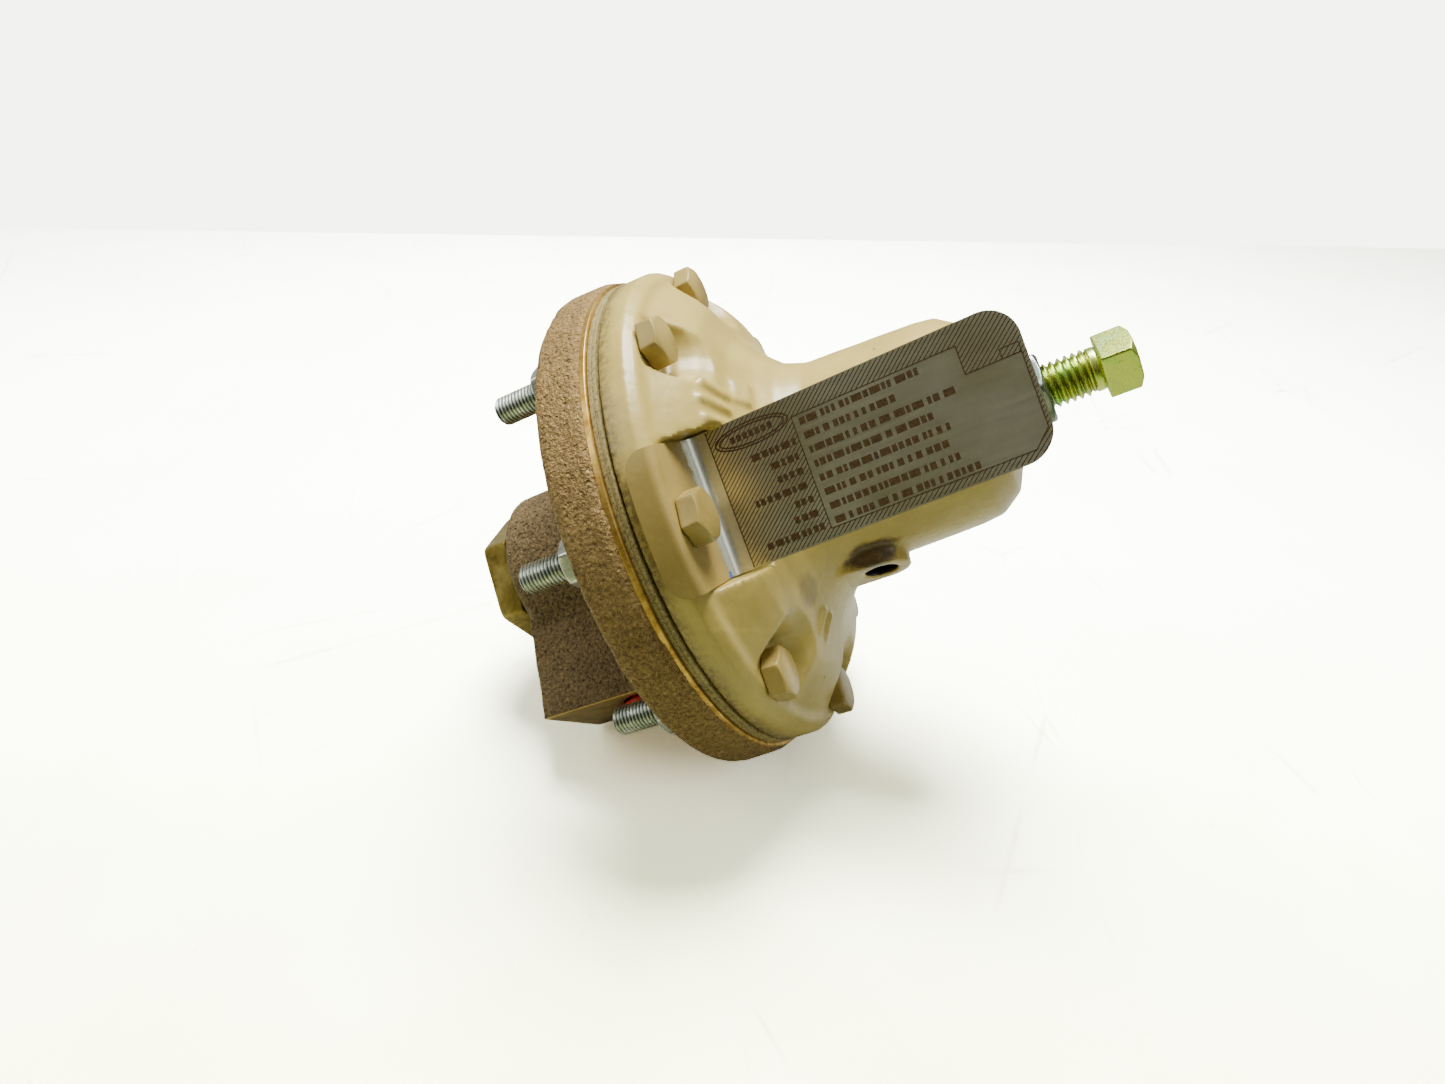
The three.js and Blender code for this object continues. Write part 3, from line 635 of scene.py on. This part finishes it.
def thread(major, pitch, low, high, cols=40, chamfer_high=False):
    """A helical thread between two heights, open at the top; its low end is chamfered and closed."""
    depth = THREAD_DEPTH * pitch
    chamfer_r = major - depth - 0.15
    turns = math.ceil((high - low) / pitch) + 2
    rows = [(pitch * (n + part), major - depth * sunk) for n in range(-1, turns) for part, sunk in TOOTH]
    verts, faces = [], []
    for off, row_r in rows:
        for i in range(cols):
            a = 2 * math.pi * i / cols
            z = min(max(low + off + pitch * i / cols, low), high)
            r = min(row_r, chamfer_r + (z - low))
            if chamfer_high:
                r = min(r, chamfer_r + (high - z))
            if z <= low or z >= high:
                r = min(r, major - depth)
            verts.append((r * math.cos(a), r * math.sin(a), z))
    for k in range(len(rows) - 1):
        for i in range(cols):
            across = k * cols + i + 1
            if i == cols - 1:  # the last column meets the first one a turn further up
                if k + 1 + len(TOOTH) >= len(rows):
                    continue
                across = (k + len(TOOTH)) * cols
            quad = (k * cols + i, across, across + cols, (k + 1) * cols + i)
            if len({verts[q][2] for q in quad}) == 1 and verts[quad[0]][2] in (low, high):
                continue
            faces.append(quad)
    end_r = min(v[0] for v in verts if v[2] <= low and v[1] == 0.0 and v[0] > 0)
    return merge((verts, faces), (circle(end_r, low, cols), [tuple(range(cols))]))


def moved(part, x, turn):
    """Moves a part out along X and then turns it about the valve axis."""
    c, s = math.cos(math.radians(turn)), math.sin(math.radians(turn))
    verts, faces = part
    return [((v[0] + x) * c - v[1] * s, (v[0] + x) * s + v[1] * c, v[2]) for v in verts], faces


def sideways(part, z, side):
    """Turns a part made along +Z so that it points along +X or -X at a height."""
    verts, faces = part
    return [(side * v[2], v[0], z + v[1] * side) for v in verts], faces


# ---------- castings: the CAD solid, rounded and roughened ----------
LUMP_SCALE = 0.16  # noise cycles per millimetre
FINE_SCALE = 0.62
# the spring chamber's outside: radius, and height over JOINT_Z
DOME_OUTLINE = [(30.0, 45.0), (31.0, 38.5), (33.4, 32.0), (38.0, 27.2), (44.6, 22.9), (55.0, 19.9),
                (58.5, 17.6), (66.5, 10.8), (69.0, 10.3)]


def casting(name, node, mat, voxel, smooth_steps, extra=(), lump=0.0, fine=0.0):
    """Stands in for a CAD node with its own mesh, remeshed with any extra parts, smoothed and roughened."""
    mesh = bpy.data.meshes.new(name)
    bm = bmesh.new()
    bm.from_mesh(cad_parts[node].data)
    bmesh.ops.remove_doubles(bm, verts=bm.verts, dist=1e-6)
    for verts, faces in extra:
        made = [bm.verts.new(Vector(v) * MM) for v in verts]
        for face in faces:
            bm.faces.new([made[i] for i in face])
    bmesh.ops.recalc_face_normals(bm, faces=bm.faces)
    bm.to_mesh(mesh)
    bm.free()
    obj = bpy.data.objects.new(name, mesh)
    bpy.context.scene.collection.objects.link(obj)
    remesh = obj.modifiers.new("remesh", "REMESH")
    remesh.mode = "VOXEL"
    remesh.voxel_size = voxel * MM
    smooth = obj.modifiers.new("smooth", "SMOOTH")
    smooth.factor = 0.5
    smooth.iterations = smooth_steps
    made = bpy.data.meshes.new_from_object(obj.evaluated_get(bpy.context.evaluated_depsgraph_get()))
    obj.modifiers.clear()
    obj.data = made
    made.name = name
    roughen(made, lump, fine)
    made.materials.clear()
    made.materials.append(mat)
    for face in made.polygons:
        face.use_smooth = True
    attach(obj, "housing")
    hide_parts(node)


def roughen(mesh, lump, fine):
    """Sinks the surface by a few tenths of a millimetre in lumps, never outwards, but not the port faces."""
    n = len(mesh.vertices)
    co = np.empty(n * 3)
    no = np.empty(n * 3)
    mesh.vertices.foreach_get("co", co)
    mesh.vertices.foreach_get("normal", no)
    co, no = co.reshape(-1, 3), no.reshape(-1, 3)
    for i in range(n):
        p = Vector(co[i] * PER_METRE)
        if abs(p.x) > PORT_FACE_X - 0.6:
            continue
        lumps = noise.noise(p * LUMP_SCALE) * 0.5 + 0.5
        grains = noise.noise(p * FINE_SCALE) * 0.5 + 0.5
        co[i] -= no[i] * (lump * lumps + fine * grains) * MM
    mesh.vertices.foreach_set("co", co.ravel())
    mesh.update()


def cast_block(r, angle, slope, length, width, height):
    """A raised foundry pad on the dome: its centre radius and angle, the dome's slope there, and its size."""
    sunk, taper = -3.0, 0.6
    a = math.radians(angle)
    out = Vector((math.cos(a), math.sin(a), 0))
    side = Vector((-math.sin(a), math.cos(a), 0))
    s = math.radians(slope)
    along = out * math.cos(s) - Vector((0, 0, 1)) * math.sin(s)
    normal = out * math.sin(s) + Vector((0, 0, 1)) * math.cos(s)
    dome_z = JOINT_Z + float(np.interp(r, *zip(*DOME_OUTLINE)))
    base = out * r + Vector((0, 0, dome_z))
    verts = []
    for h, t in ((sunk, 0.0), (height, taper)):
        for u, w in ((-1, -1), (1, -1), (1, 1), (-1, 1)):
            p = base + along * u * (length / 2 - t) + side * w * (width / 2 - t) + normal * h
            verts.append(tuple(p))
    faces = [(3, 2, 1, 0), (4, 5, 6, 7), (0, 1, 5, 4), (1, 2, 6, 5), (2, 3, 7, 6), (3, 0, 4, 7)]
    return verts, faces


def build_castings():
    casting("body_casting", "valve_body", BRONZE, 0.8, 4, lump=0.35, fine=0.25)
    pads = [
        cast_block(50.5, -91.5, 18, 12.0, 3.2, 1.0),
        cast_block(50.5, -97.5, 18, 13.0, 3.0, 1.0),
        cast_block(50.0, -103.5, 18, 12.0, 3.4, 1.0),
        cast_block(41.0, -108.0, 38, 7.0, 9.0, 0.9),
        cast_block(46.0, -5.0, 26, 8.5, 3.0, 1.2),
        cast_block(46.0, -11.0, 26, 8.5, 3.0, 1.2),
        cast_block(46.0, 96.0, 22, 9.0, 12.0, 1.2),
    ]
    casting("chamber_casting", "spring_chamber", PAINT, 0.75, 5, extra=pads, lump=0.18, fine=0.06)


def box_outline(inner, outer, low, high):
    return [[inner, low], [outer, low], [outer, high], [inner, high]]


def build_joint_rings():
    """The turned edge of the body, the gasket, and the diaphragm as a clamped rim and a moving centre."""
    segments = 192
    edge_r, land_r, land_low, land_high = RIM_R + 0.15, 72.72, 70.6, 72.45
    gasket_z, rim_z = (72.55, 73.72), (73.76, 74.92)
    land = [[70.0, land_low], [72.55, land_low], [land_r, 71.0], [land_r, 72.3], [72.5, land_high],
            [70.0, land_high]]
    piece("body_land", turned(rounded(land, 0.12, True), segments, True), [LAND])
    gasket = rounded(box_outline(48.0, edge_r, *gasket_z), 0.18, True)
    piece("gasket_ring", turned(gasket, segments, True), [BAND],
          replaces=["diaphragm_gasket"])
    rim = rounded(box_outline(45.7, edge_r, *rim_z), 0.18, True)
    piece("diaphragm_rim", turned(rim, segments, True), [BAND], replaces=["diaphragm"])
    # the centre goes down with the stem; its rolled edge is high enough to stay beside the rim all the way
    roll_in, roll_out, roll_top = 44.2, 45.4, 77.2
    centre = [[3.4, rim_z[0]], [roll_out, rim_z[0]], [roll_out, roll_top], [roll_in, roll_top],
              [roll_in, rim_z[1]], [3.4, rim_z[1]]]
    piece("diaphragm_centre", turned(rounded(centre, 0.3, True), 120, True), [RUBBER], "stem")


def coil(mean_r, wire_r, low, high, turns, sides=12, steps=36):
    """A helical spring as a closed tube."""
    count = turns * steps
    loops = []
    for k in range(count + 1):
        t = k / count
        a = 2 * math.pi * turns * t
        z = low + wire_r * 1.05 + (high - low - wire_r * 2.1) * t
        out = Vector((math.cos(a), math.sin(a), 0))
        loops.append([tuple(out * (mean_r + wire_r * math.cos(b)) + Vector((0, 0, z + wire_r * math.sin(b))))
                      for b in (2 * math.pi * j / sides for j in range(sides))])
    return rings(loops)


def build_springs():
    low, high = RANGE_COIL_Z
    main = piece("range_coil", coil(16.6, 2.6, low, high, 7), [SPRING], None,
                 ["range_spring"])
    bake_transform(main)
    low, high = PISTON_COIL_Z
    small = piece("piston_coil", coil(5.6, 0.75, low, high, 7), [SPRING], None,
                  ["piston_spring"])
    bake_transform(small)


def build_bolts():
    head_mat, shank_mat, root_shade_mat = range(3)
    for i in range(BOLT_COUNT):
        n = i + 1
        angle = FIRST_BOLT_ANGLE + i * 360 / BOLT_COUNT
        on_plate = abs(angle - 360 - PLATE_ANGLE) < 1
        seat = SEAT_Z + GAP + (PLATE_THICK + GAP if on_plate else 0)
        head = prism(6, HEX_FLATS, seat, seat + HEAD_HEIGHT, HEAD_TURNS[i] + HEX_CORNER, bevel_high=HEX_BEVEL,
                     edge=0.45, power=80)
        rod = rings([circle(BOLT_R, z, 40) for z in (BOLT_THREAD_TOP_Z - 0.2, seat + 0.5)])
        verts, faces = merge(head, rod, thread(BOLT_R, BOLT_PITCH, BOLT_END_Z, BOLT_THREAD_TOP_Z))
        split = len(head[1])
        marks = [head_mat] * split
        # painted shade: faces deep in the thread's roots get the darker copy of the zinc
        for face in faces[split:]:
            deep = max(math.hypot(*verts[v][:2]) for v in face) < BOLT_R - 0.2
            marks.append(root_shade_mat if deep else shank_mat)
        bolt = moved((verts, faces), BOLT_CIRCLE_R, angle)
        piece(f"bolt_{n}", bolt, [BOLT_PAINT, ZINC, SHADED_THREAD_ROOT], replaces=[f"flange_bolt_{n}"],
              smooth=32, face_mats=marks)
        nut = prism(6, HEX_FLATS, NUT_TOP_Z - NUT_HEIGHT, NUT_TOP_Z, NUT_TURNS[i] + HEX_CORNER, HEX_BEVEL,
                    HEX_BEVEL, hole=BOLT_R + 0.1)
        nut = moved(nut, BOLT_CIRCLE_R, angle)
        piece(f"nut_{n}", nut, [ZINC], replaces=[f"flange_nut_{n}"], smooth=32)


def build_adjuster():
    screw = thread(SCREW_R, SCREW_PITCH, SCREW_TIP_Z, NECK_Z, cols=72, chamfer_high=True)
    neck_low, neck_high = NECK_Z - 0.6, SQUARE_Z + 0.4
    neck = [[0.01, neck_low], [NECK_R - 0.8, neck_low], [NECK_R, NECK_Z], [NECK_R, SQUARE_Z - 0.7],
            [NECK_R - 0.6, neck_high], [0.01, neck_high]]
    head = prism(4, SQUARE_SIDE, SQUARE_Z, SCREW_TOP_Z, SQUARE_TURN, bevel_high=1.04, power=60, edge=0.5,
                 segments=144)
    piece("square_head_screw", merge(screw, turned(rounded(neck), 72), head), [YELLOW],
          "adjusting_screw", ["adjusting_screw"], smooth=35)
    washer = rounded(box_outline(*WASHER_R, *WASHER_Z), closed=True)
    piece("washer", turned(washer, closed=True), [ZINC], "lock_washer", ["lock_washer"])
    # painted shade: the lock nut is white zinc coloured with the darker copy
    nut = prism(6, LOCK_NUT_FLATS, *LOCK_NUT_Z, LOCK_NUT_TURN + HEX_CORNER, bevel_low=0.94, bevel_high=0.94,
                hole=SCREW_R + 0.15, segments=144)
    piece("hex_lock_nut", nut, [SHADED_ZINC], "lock_nut", ["lock_nut"], smooth=32)


# ---------- nameplate ----------
def plate_point(out, across, z):
    """A point on or over the plate: distance from the valve axis, place across the sheet, and height."""
    shift = PLATE_SHIFT + PLATE_LEAN * max(0.0, z - (SEAT_Z + 4.5))
    u = across + shift
    # outside the bolt circle the sheet follows the round rim
    t = min(max((out - 60.0) / 10.0, 0.0), 1.0)
    out -= (RIM_R - math.sqrt(RIM_R ** 2 - u * u)) * t * t * (3 - 2 * t)
    return tuple(AXIS_OUT * out + ACROSS * u + Vector((0, 0, z)))


def plate_path():
    """Middle of the sheet as (out, z, normal out, normal z), from the lip over the rim to the free end."""
    path = []
    lip, flat = RIM_R + 0.9, SEAT_Z + GAP + PLATE_THICK / 2
    lip_bend, foot_bend = 1.9, 3.4  # radii at the middle of the sheet
    corner_z = PLATE_TOP_Z - PLATE_CORNER_R

    def straight(a, b, normal, count, ease=False):
        for k in range(count):
            t = k / count
            if ease:
                t = 1 - math.cos(t * math.pi / 2)
            path.append((a[0] + (b[0] - a[0]) * t, a[1] + (b[1] - a[1]) * t, *normal))

    def bend(centre, r, start, sweep, facing, count):
        for k in range(count):
            a = math.radians(start + sweep * k / count)
            path.append((centre[0] + r * math.cos(a), centre[1] + r * math.sin(a), facing * math.cos(a),
                         facing * math.sin(a)))

    shoulder = (lip - lip_bend, flat - lip_bend)
    foot = (PLATE_MID + foot_bend, flat + foot_bend)
    straight((lip, PLATE_LIP_Z), (lip, shoulder[1]), (1, 0), 14, ease=True)
    bend(shoulder, lip_bend, 0, 90, 1, 9)
    straight((shoulder[0], flat), (foot[0], flat), (0, 1), 16)
    bend(foot, foot_bend, -90, -90, -1, 12)
    straight((PLATE_MID, foot[1]), (PLATE_MID, corner_z), (1, 0), 30)
    top = [(PLATE_MID, corner_z + PLATE_CORNER_R * math.sin(math.pi / 2 * k / 14), 1, 0) for k in range(15)]
    return path + top


def half_width(z, out):
    """Half the sheet's width, which its rounded corners narrow at both ends."""
    w = PLATE_HALF
    past_top = z - (PLATE_TOP_Z - PLATE_CORNER_R)
    if past_top > 0:
        w = PLATE_HALF - PLATE_CORNER_R + math.sqrt(max(0.0, PLATE_CORNER_R ** 2 - past_top * past_top))
    past_lip = PLATE_LIP_Z + LIP_CORNER_R - z
    if out > RIM_R + 0.4 and past_lip > 0:
        w = PLATE_HALF - LIP_CORNER_R + math.sqrt(max(0.0, LIP_CORNER_R ** 2 - past_lip * past_lip))
    return w


def build_plate():
    cols = 28
    loops = []
    half = PLATE_THICK / 2
    for out, z, n_out, n_z in plate_path():
        w = half_width(z, out)
        front, back = [], []
        for k in range(cols + 1):
            # closer columns towards the edges
            t = 0.5 * -math.cos(math.pi * k / cols) + 0.5 * (2 * k / cols - 1)
            front.append(plate_point(out + n_out * half, t * w, z + n_z * half))
            back.append(plate_point(out - n_out * half, t * w, z - n_z * half))
        loops.append(front + back[::-1])
    piece("nameplate_sheet", rings(loops), [PLATE], replaces=["nameplate"], smooth=50)


def build_etching():
    """Hatched border, blank panel outline and rows of plain dashes, a hair above the sheet.

    On the sheet, u is the place across it and z the height, so the rows run up the valve.
    """
    face = PLATE_MID + PLATE_THICK / 2 + 0.03
    verts, faces = [], []
    low, high = 91.8, 169.5
    panel_low, panel_high = 114.0, 168.8
    panel_left, panel_right = -13.2, 15.7
    panel_cut = 4.0
    notch_z, notch_u = 155.7, -6.3

    def in_panel(u, z):
        if not (panel_low <= z <= panel_high and panel_left <= u <= panel_right):
            return False
        if z > notch_z and u < notch_u:
            return False
        return (z - panel_high) + (u - panel_right) < -panel_cut

    def in_sheet(u, z):
        return low <= z <= high and abs(u) <= half_width(z, PLATE_MID) - 0.35

    def strip(u0, z0, u1, z1, thick):
        line = Vector((u1 - u0, z1 - z0))
        if line.length < 0.15:
            return
        n = Vector((-line.y, line.x)).normalized() * thick / 2
        base = len(verts)
        for u, z in ((u0 - n.x, z0 - n.y), (u1 - n.x, z1 - n.y), (u1 + n.x, z1 + n.y), (u0 + n.x, z0 + n.y)):
            verts.append(plate_point(face, u, z))
        faces.append((base, base + 1, base + 2, base + 3))

    def outline(points, thick):
        for a, b in zip(points, points[1:] + points[:1]):
            strip(*a, *b, thick)

    def dashes(u, z, last, end, lengths, spaces):
        while z < last:
            length = rng.choice(lengths)
            strip(u, z, u, min(z + length, end), 1.7)
            z += length + rng.choice(spaces)

    # slanted hatching, walked in short steps and drawn where it is on the sheet and outside the panel
    step = Vector((-0.64, 0.768)).normalized() * 0.25
    for k in range(96):
        start = Vector((PLATE_HALF, low - 44 + 1.42 * k))
        run = None
        for j in range(240):
            p = start + step * j
            inside = in_sheet(p.x, p.y) and not in_panel(p.x, p.y)
            if inside and run is None:
                run = p.copy()
            if not inside and run is not None:
                strip(run.x, run.y, p.x, p.y, 0.2)
                run = None

    outline([(panel_left, panel_low), (panel_left, notch_z), (notch_u, notch_z), (notch_u, panel_high),
             (panel_right - panel_cut, panel_high), (panel_right, panel_high - panel_cut),
             (panel_right, panel_low)], 0.26)
    tab_u, tab_z = -8.6, 164.4
    outline([(tab_u, tab_z), (tab_u, panel_high), (notch_u, panel_high), (notch_u, tab_z)], 0.22)
    strip(-PLATE_HALF + 0.3, low, PLATE_HALF - 0.3, low, 0.3)

    # a row for each line of print in the panel, and its label before the panel
    rng = random.Random(7)
    row_ends = [146.0, 139.0, 152.5, 147.0, 149.0, 148.0, 148.5, 154.0]
    label_starts = [None, 101.0, 105.0, 105.5, 98.0, 107.5, 106.0, 97.0]
    for row, (end, label) in enumerate(zip(row_ends, label_starts)):
        u = -11.4 + 3.65 * row
        dashes(u, panel_low + 1.6, end - 0.8, end, (0.9, 1.2, 1.5, 2.6), (0.45, 0.6, 1.1))
        if label:
            dashes(u + 0.3, label, panel_low - 1.4, panel_low - 1.0, (0.9, 1.2, 1.6, 2.2), (0.45, 0.7))

    # a plain double oval with a row of short bars in it
    oval_u, oval_z, bars, sides = -13.6, 103.2, 7, 36
    for k in range(bars):
        bar_z = oval_z - 5.8 + 1.7 * k
        strip(oval_u, bar_z, oval_u, bar_z + 1.2, 1.6)
    for k in range(sides):
        a, b = 2 * math.pi * k / sides, 2 * math.pi * (k + 1) / sides
        for ru, rz in ((2.9, 10.0), (2.2, 8.9)):
            strip(oval_u + ru * math.cos(a), oval_z + rz * math.sin(a),
                  oval_u + ru * math.cos(b), oval_z + rz * math.sin(b), 0.4)
    piece("nameplate_etching", (verts, faces), [ETCH])


# ---------- cap, plugs and hidden parts ----------
def build_cap():
    hexagon = prism(6, CAP_FLATS, 0.0, CAP_HEIGHT, CAP_TURN + HEX_CORNER, bevel_low=1.12, power=110,
                    segments=180, edge=0.5)
    collar_low, collar_high = CAP_HEIGHT - 0.4, 23.5
    collar = [[0.01, collar_low], [14.4, collar_low], [14.4, 9.0], [16.1, 10.5], [16.1, 22.0],
              [14.8, collar_high], [0.01, collar_high]]
    cap = merge(hexagon, turned(rounded(collar, 0.2), 72))
    piece("hex_cap", cap, [BRASS], replaces=["body_cap"], smooth=32)


def build_plugs():
    """Moulded shipping plugs: a slightly tapered cup with a flange against the port face."""
    face, tip = PORT_FACE_X + GAP, PORT_FACE_X - 9
    flange, wall = 1.8, 1.4
    profile = [[0.01, tip], [9.0, tip], [9.45, face], [11.2, face], [11.2, face + flange],
               [8.0, face + flange], [7.6, tip + wall], [0.01, tip + wall]]
    for name, node, body, side in (("near_plug_cap", "near_port_plug", "near_plug", 1),
                                   ("far_plug_cap", "far_port_plug", "far_plug", -1)):
        part = sideways(turned(rounded(profile, 0.45), 80), PORT_Z, side)
        piece(name, part, [RED], body, [node])


def dress_inner_nodes():
    """The CAD solids that stay visible as they are get materials."""
    looks = {"cap_gasket": STEEL, "pressure_plate": STEEL, "pusher_plate": INNER_BRASS,
             "diaphragm_screw": STEEL, "seat_ring": STAINLESS, "seat_disc": RUBBER,
             "disc_retainer": STAINLESS, "valve_piston": INNER_BRASS, "spring_button": STEEL}
    for node, mat in looks.items():
        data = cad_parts[node].data
        data.materials.clear()
        data.materials.append(mat)


# ---------- floor and light ----------
FLOOR_LIFT = 5.0  # brightness of the table to the camera
FLOOR_BOUNCE = 0.55  # and to the part
FLOOR_CELLS = 24
ROOM_SEEN = 6.5  # the same for the room
ROOM_FILL = 0.32


def floor_height():
    """The lowest point of the part, measured along UP."""
    low = math.inf
    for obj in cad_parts.values():
        co = np.empty(len(obj.data.vertices) * 3)
        obj.data.vertices.foreach_get("co", co)
        low = min(low, float((co.reshape(-1, 3) @ np.array(UP)).min()))
    return low


def white_table():
    k = Look("worn_white_table")
    cloud = k.noise(14, 4, 0.6)
    fine = k.noise(160, 4, 0.6)
    clean_white = k.colours(cloud, [(0.3, "f1f2ea"), (0.7, "fafaf6")])
    warm_white = k.colours(cloud, [(0.3, "d3d994"), (0.7, "e3e8b0")])
    colour = k.mix(k.ramp(k.along((0, 1, 0)), -260.0, 130.0), warm_white, clean_white)
    for turn, scale in ((0.4, 9), (1.5, 7), (2.6, 12)):
        line = k.voronoi(scale, "DISTANCE_TO_EDGE", k.stretched((1, 0.4, 1), turn))
        here_and_there = k.ramp(k.noise(16, 3, 0.6), 0.5, 0.66, 0.0, 0.4)
        scratch = k.times(k.ramp(line, 0.0, 0.005, 1.0, 0.0), here_and_there)
        colour = k.mix(scratch, colour, "a9a37a")
    dust = k.ramp(k.voronoi(120), 0.05, 0.09, 0.35, 0.0)
    colour = k.mix(k.times(dust, k.ramp(fine, 0.5, 0.6)), colour, "8f8a66")
    k.done(k.scaled(colour, FLOOR_BOUNCE), 0.5, 0.0, k.bump(fine, 0.05, 0.3))
    # the picture is exposed for the casting, so the table is brighter to the eye than it lights the part
    bright = k.node("ShaderNodeBsdfDiffuse", {"Color": k.scaled(colour, FLOOR_LIFT)})
    to_camera = k.node("ShaderNodeLightPath").outputs["Is Camera Ray"]
    table = k.node("ShaderNodeMixShader", {0: to_camera, 1: k.bsdf.outputs[0], 2: bright.outputs[0]})
    # one-sided, so that views from behind are clear
    behind = k.node("ShaderNodeNewGeometry").outputs["Backfacing"]
    clear = k.node("ShaderNodeBsdfTransparent").outputs[0]
    surface = k.node("ShaderNodeMixShader", {0: behind, 1: table.outputs[0], 2: clear})
    out = next(n for n in k.tree.nodes if n.type == "OUTPUT_MATERIAL")
    k.tree.links.new(surface.outputs[0], out.inputs["Surface"])
    return k.mat


def build_floor(height):
    """A table top under the part, with the far edge of the picture; returns its side and far directions."""
    look = -(camera.matrix_world.to_3x3() @ Vector((0, 0, 1)))
    ahead = (look - UP * look.dot(UP)).normalized()
    side = ahead.cross(UP)
    centre = TARGET - UP * (TARGET.dot(UP) - height)
    near, far, wide, skew = -1.6, 0.622, 2.4, 0.181  # metres, and the slant of the far edge
    verts, faces = [], []
    for i in range(FLOOR_CELLS + 1):
        for j in range(FLOOR_CELLS + 1):
            x = wide * (2 * i / FLOOR_CELLS - 1)
            verts.append((x, near + (far + skew * x - near) * j / FLOOR_CELLS, 0))
    for i in range(FLOOR_CELLS):
        for j in range(FLOOR_CELLS):
            a = i * (FLOOR_CELLS + 1) + j
            faces.append((a, a + FLOOR_CELLS + 1, a + FLOOR_CELLS + 2, a + 1))
    mesh = bpy.data.meshes.new("floor")
    mesh.from_pydata(verts, [], faces)
    mesh.materials.append(white_table())
    obj = bpy.data.objects.new("floor", mesh)
    obj.matrix_world = Matrix.Translation(centre) @ Matrix((side, ahead, UP)).transposed().to_4x4()
    bpy.context.scene.collection.objects.link(obj)
    return side, ahead


def area_light(name, offset, size, power, colour):
    """A round softbox at an offset from the target, in metres, that faces it."""
    data = bpy.data.lights.new(name, "AREA")
    data.shape = "DISK"
    data.size = size
    data.energy = power
    data.color = colour
    obj = bpy.data.objects.new(name, data)
    place = TARGET + offset
    obj.location = place
    obj.rotation_mode = "QUATERNION"
    obj.rotation_quaternion = (TARGET - place).to_track_quat("-Z", "Y")
    bpy.context.scene.collection.objects.link(obj)


def build_room(ahead):
    """A room that is white above and behind the part, and dimmer and warmer on the viewer's side."""
    world = bpy.data.worlds.new("studio")
    bpy.context.scene.world = world
    world.use_nodes = True
    tree = world.node_tree
    tree.nodes.clear()
    where = add_node(tree, "ShaderNodeTexCoord").outputs["Generated"]
    bright_way = (UP * 0.75 + ahead * 0.66).normalized()
    toward = add_node(tree, "ShaderNodeVectorMath", {0: where, 1: bright_way}, operation="DOT_PRODUCT")
    inputs = {0: toward.outputs["Value"], 1: 0.5, 2: 0.5}
    half = add_node(tree, "ShaderNodeMath", inputs, operation="MULTIPLY_ADD")
    shade = add_node(tree, "ShaderNodeValToRGB", {"Fac": half.outputs[0]})
    for mark, position, colour in zip(shade.color_ramp.elements, (0.25, 0.9),
                                      ((0.13, 0.12, 0.085, 1), (1.25, 1.3, 1.15, 1))):
        mark.position = position
        mark.color = colour
    fill = add_node(tree, "ShaderNodeBackground", {0: shade.outputs["Color"], 1: ROOM_FILL})
    seen = add_node(tree, "ShaderNodeBackground", {0: (0.93, 0.97, 0.88, 1), 1: ROOM_SEEN})
    to_camera = add_node(tree, "ShaderNodeLightPath").outputs["Is Camera Ray"]
    mix = add_node(tree, "ShaderNodeMixShader", {0: to_camera, 1: fill.outputs[0], 2: seen.outputs[0]})
    add_node(tree, "ShaderNodeOutputWorld", {"Surface": mix.outputs[0]})


def build_lights(side, ahead):
    area_light("top_softbox", UP * 0.75 + ahead * 0.25, 0.5, 21, (1.0, 1.0, 0.93))
    area_light("side_softbox", UP * 0.45 - side * 0.7 - ahead * 0.1, 0.5, 1.6, (1.0, 0.98, 0.9))
    area_light("card", UP * 0.55 + side * 0.62 - ahead * 0.42, 0.45, 1.0, (0.95, 0.98, 1.0))


build_castings()
build_joint_rings()
build_springs()
build_bolts()
build_adjuster()
build_plate()
build_etching()
build_cap()
build_plugs()
dress_inner_nodes()
floor_side, floor_ahead = build_floor(floor_height())
build_room(floor_ahead)
build_lights(floor_side, floor_ahead)
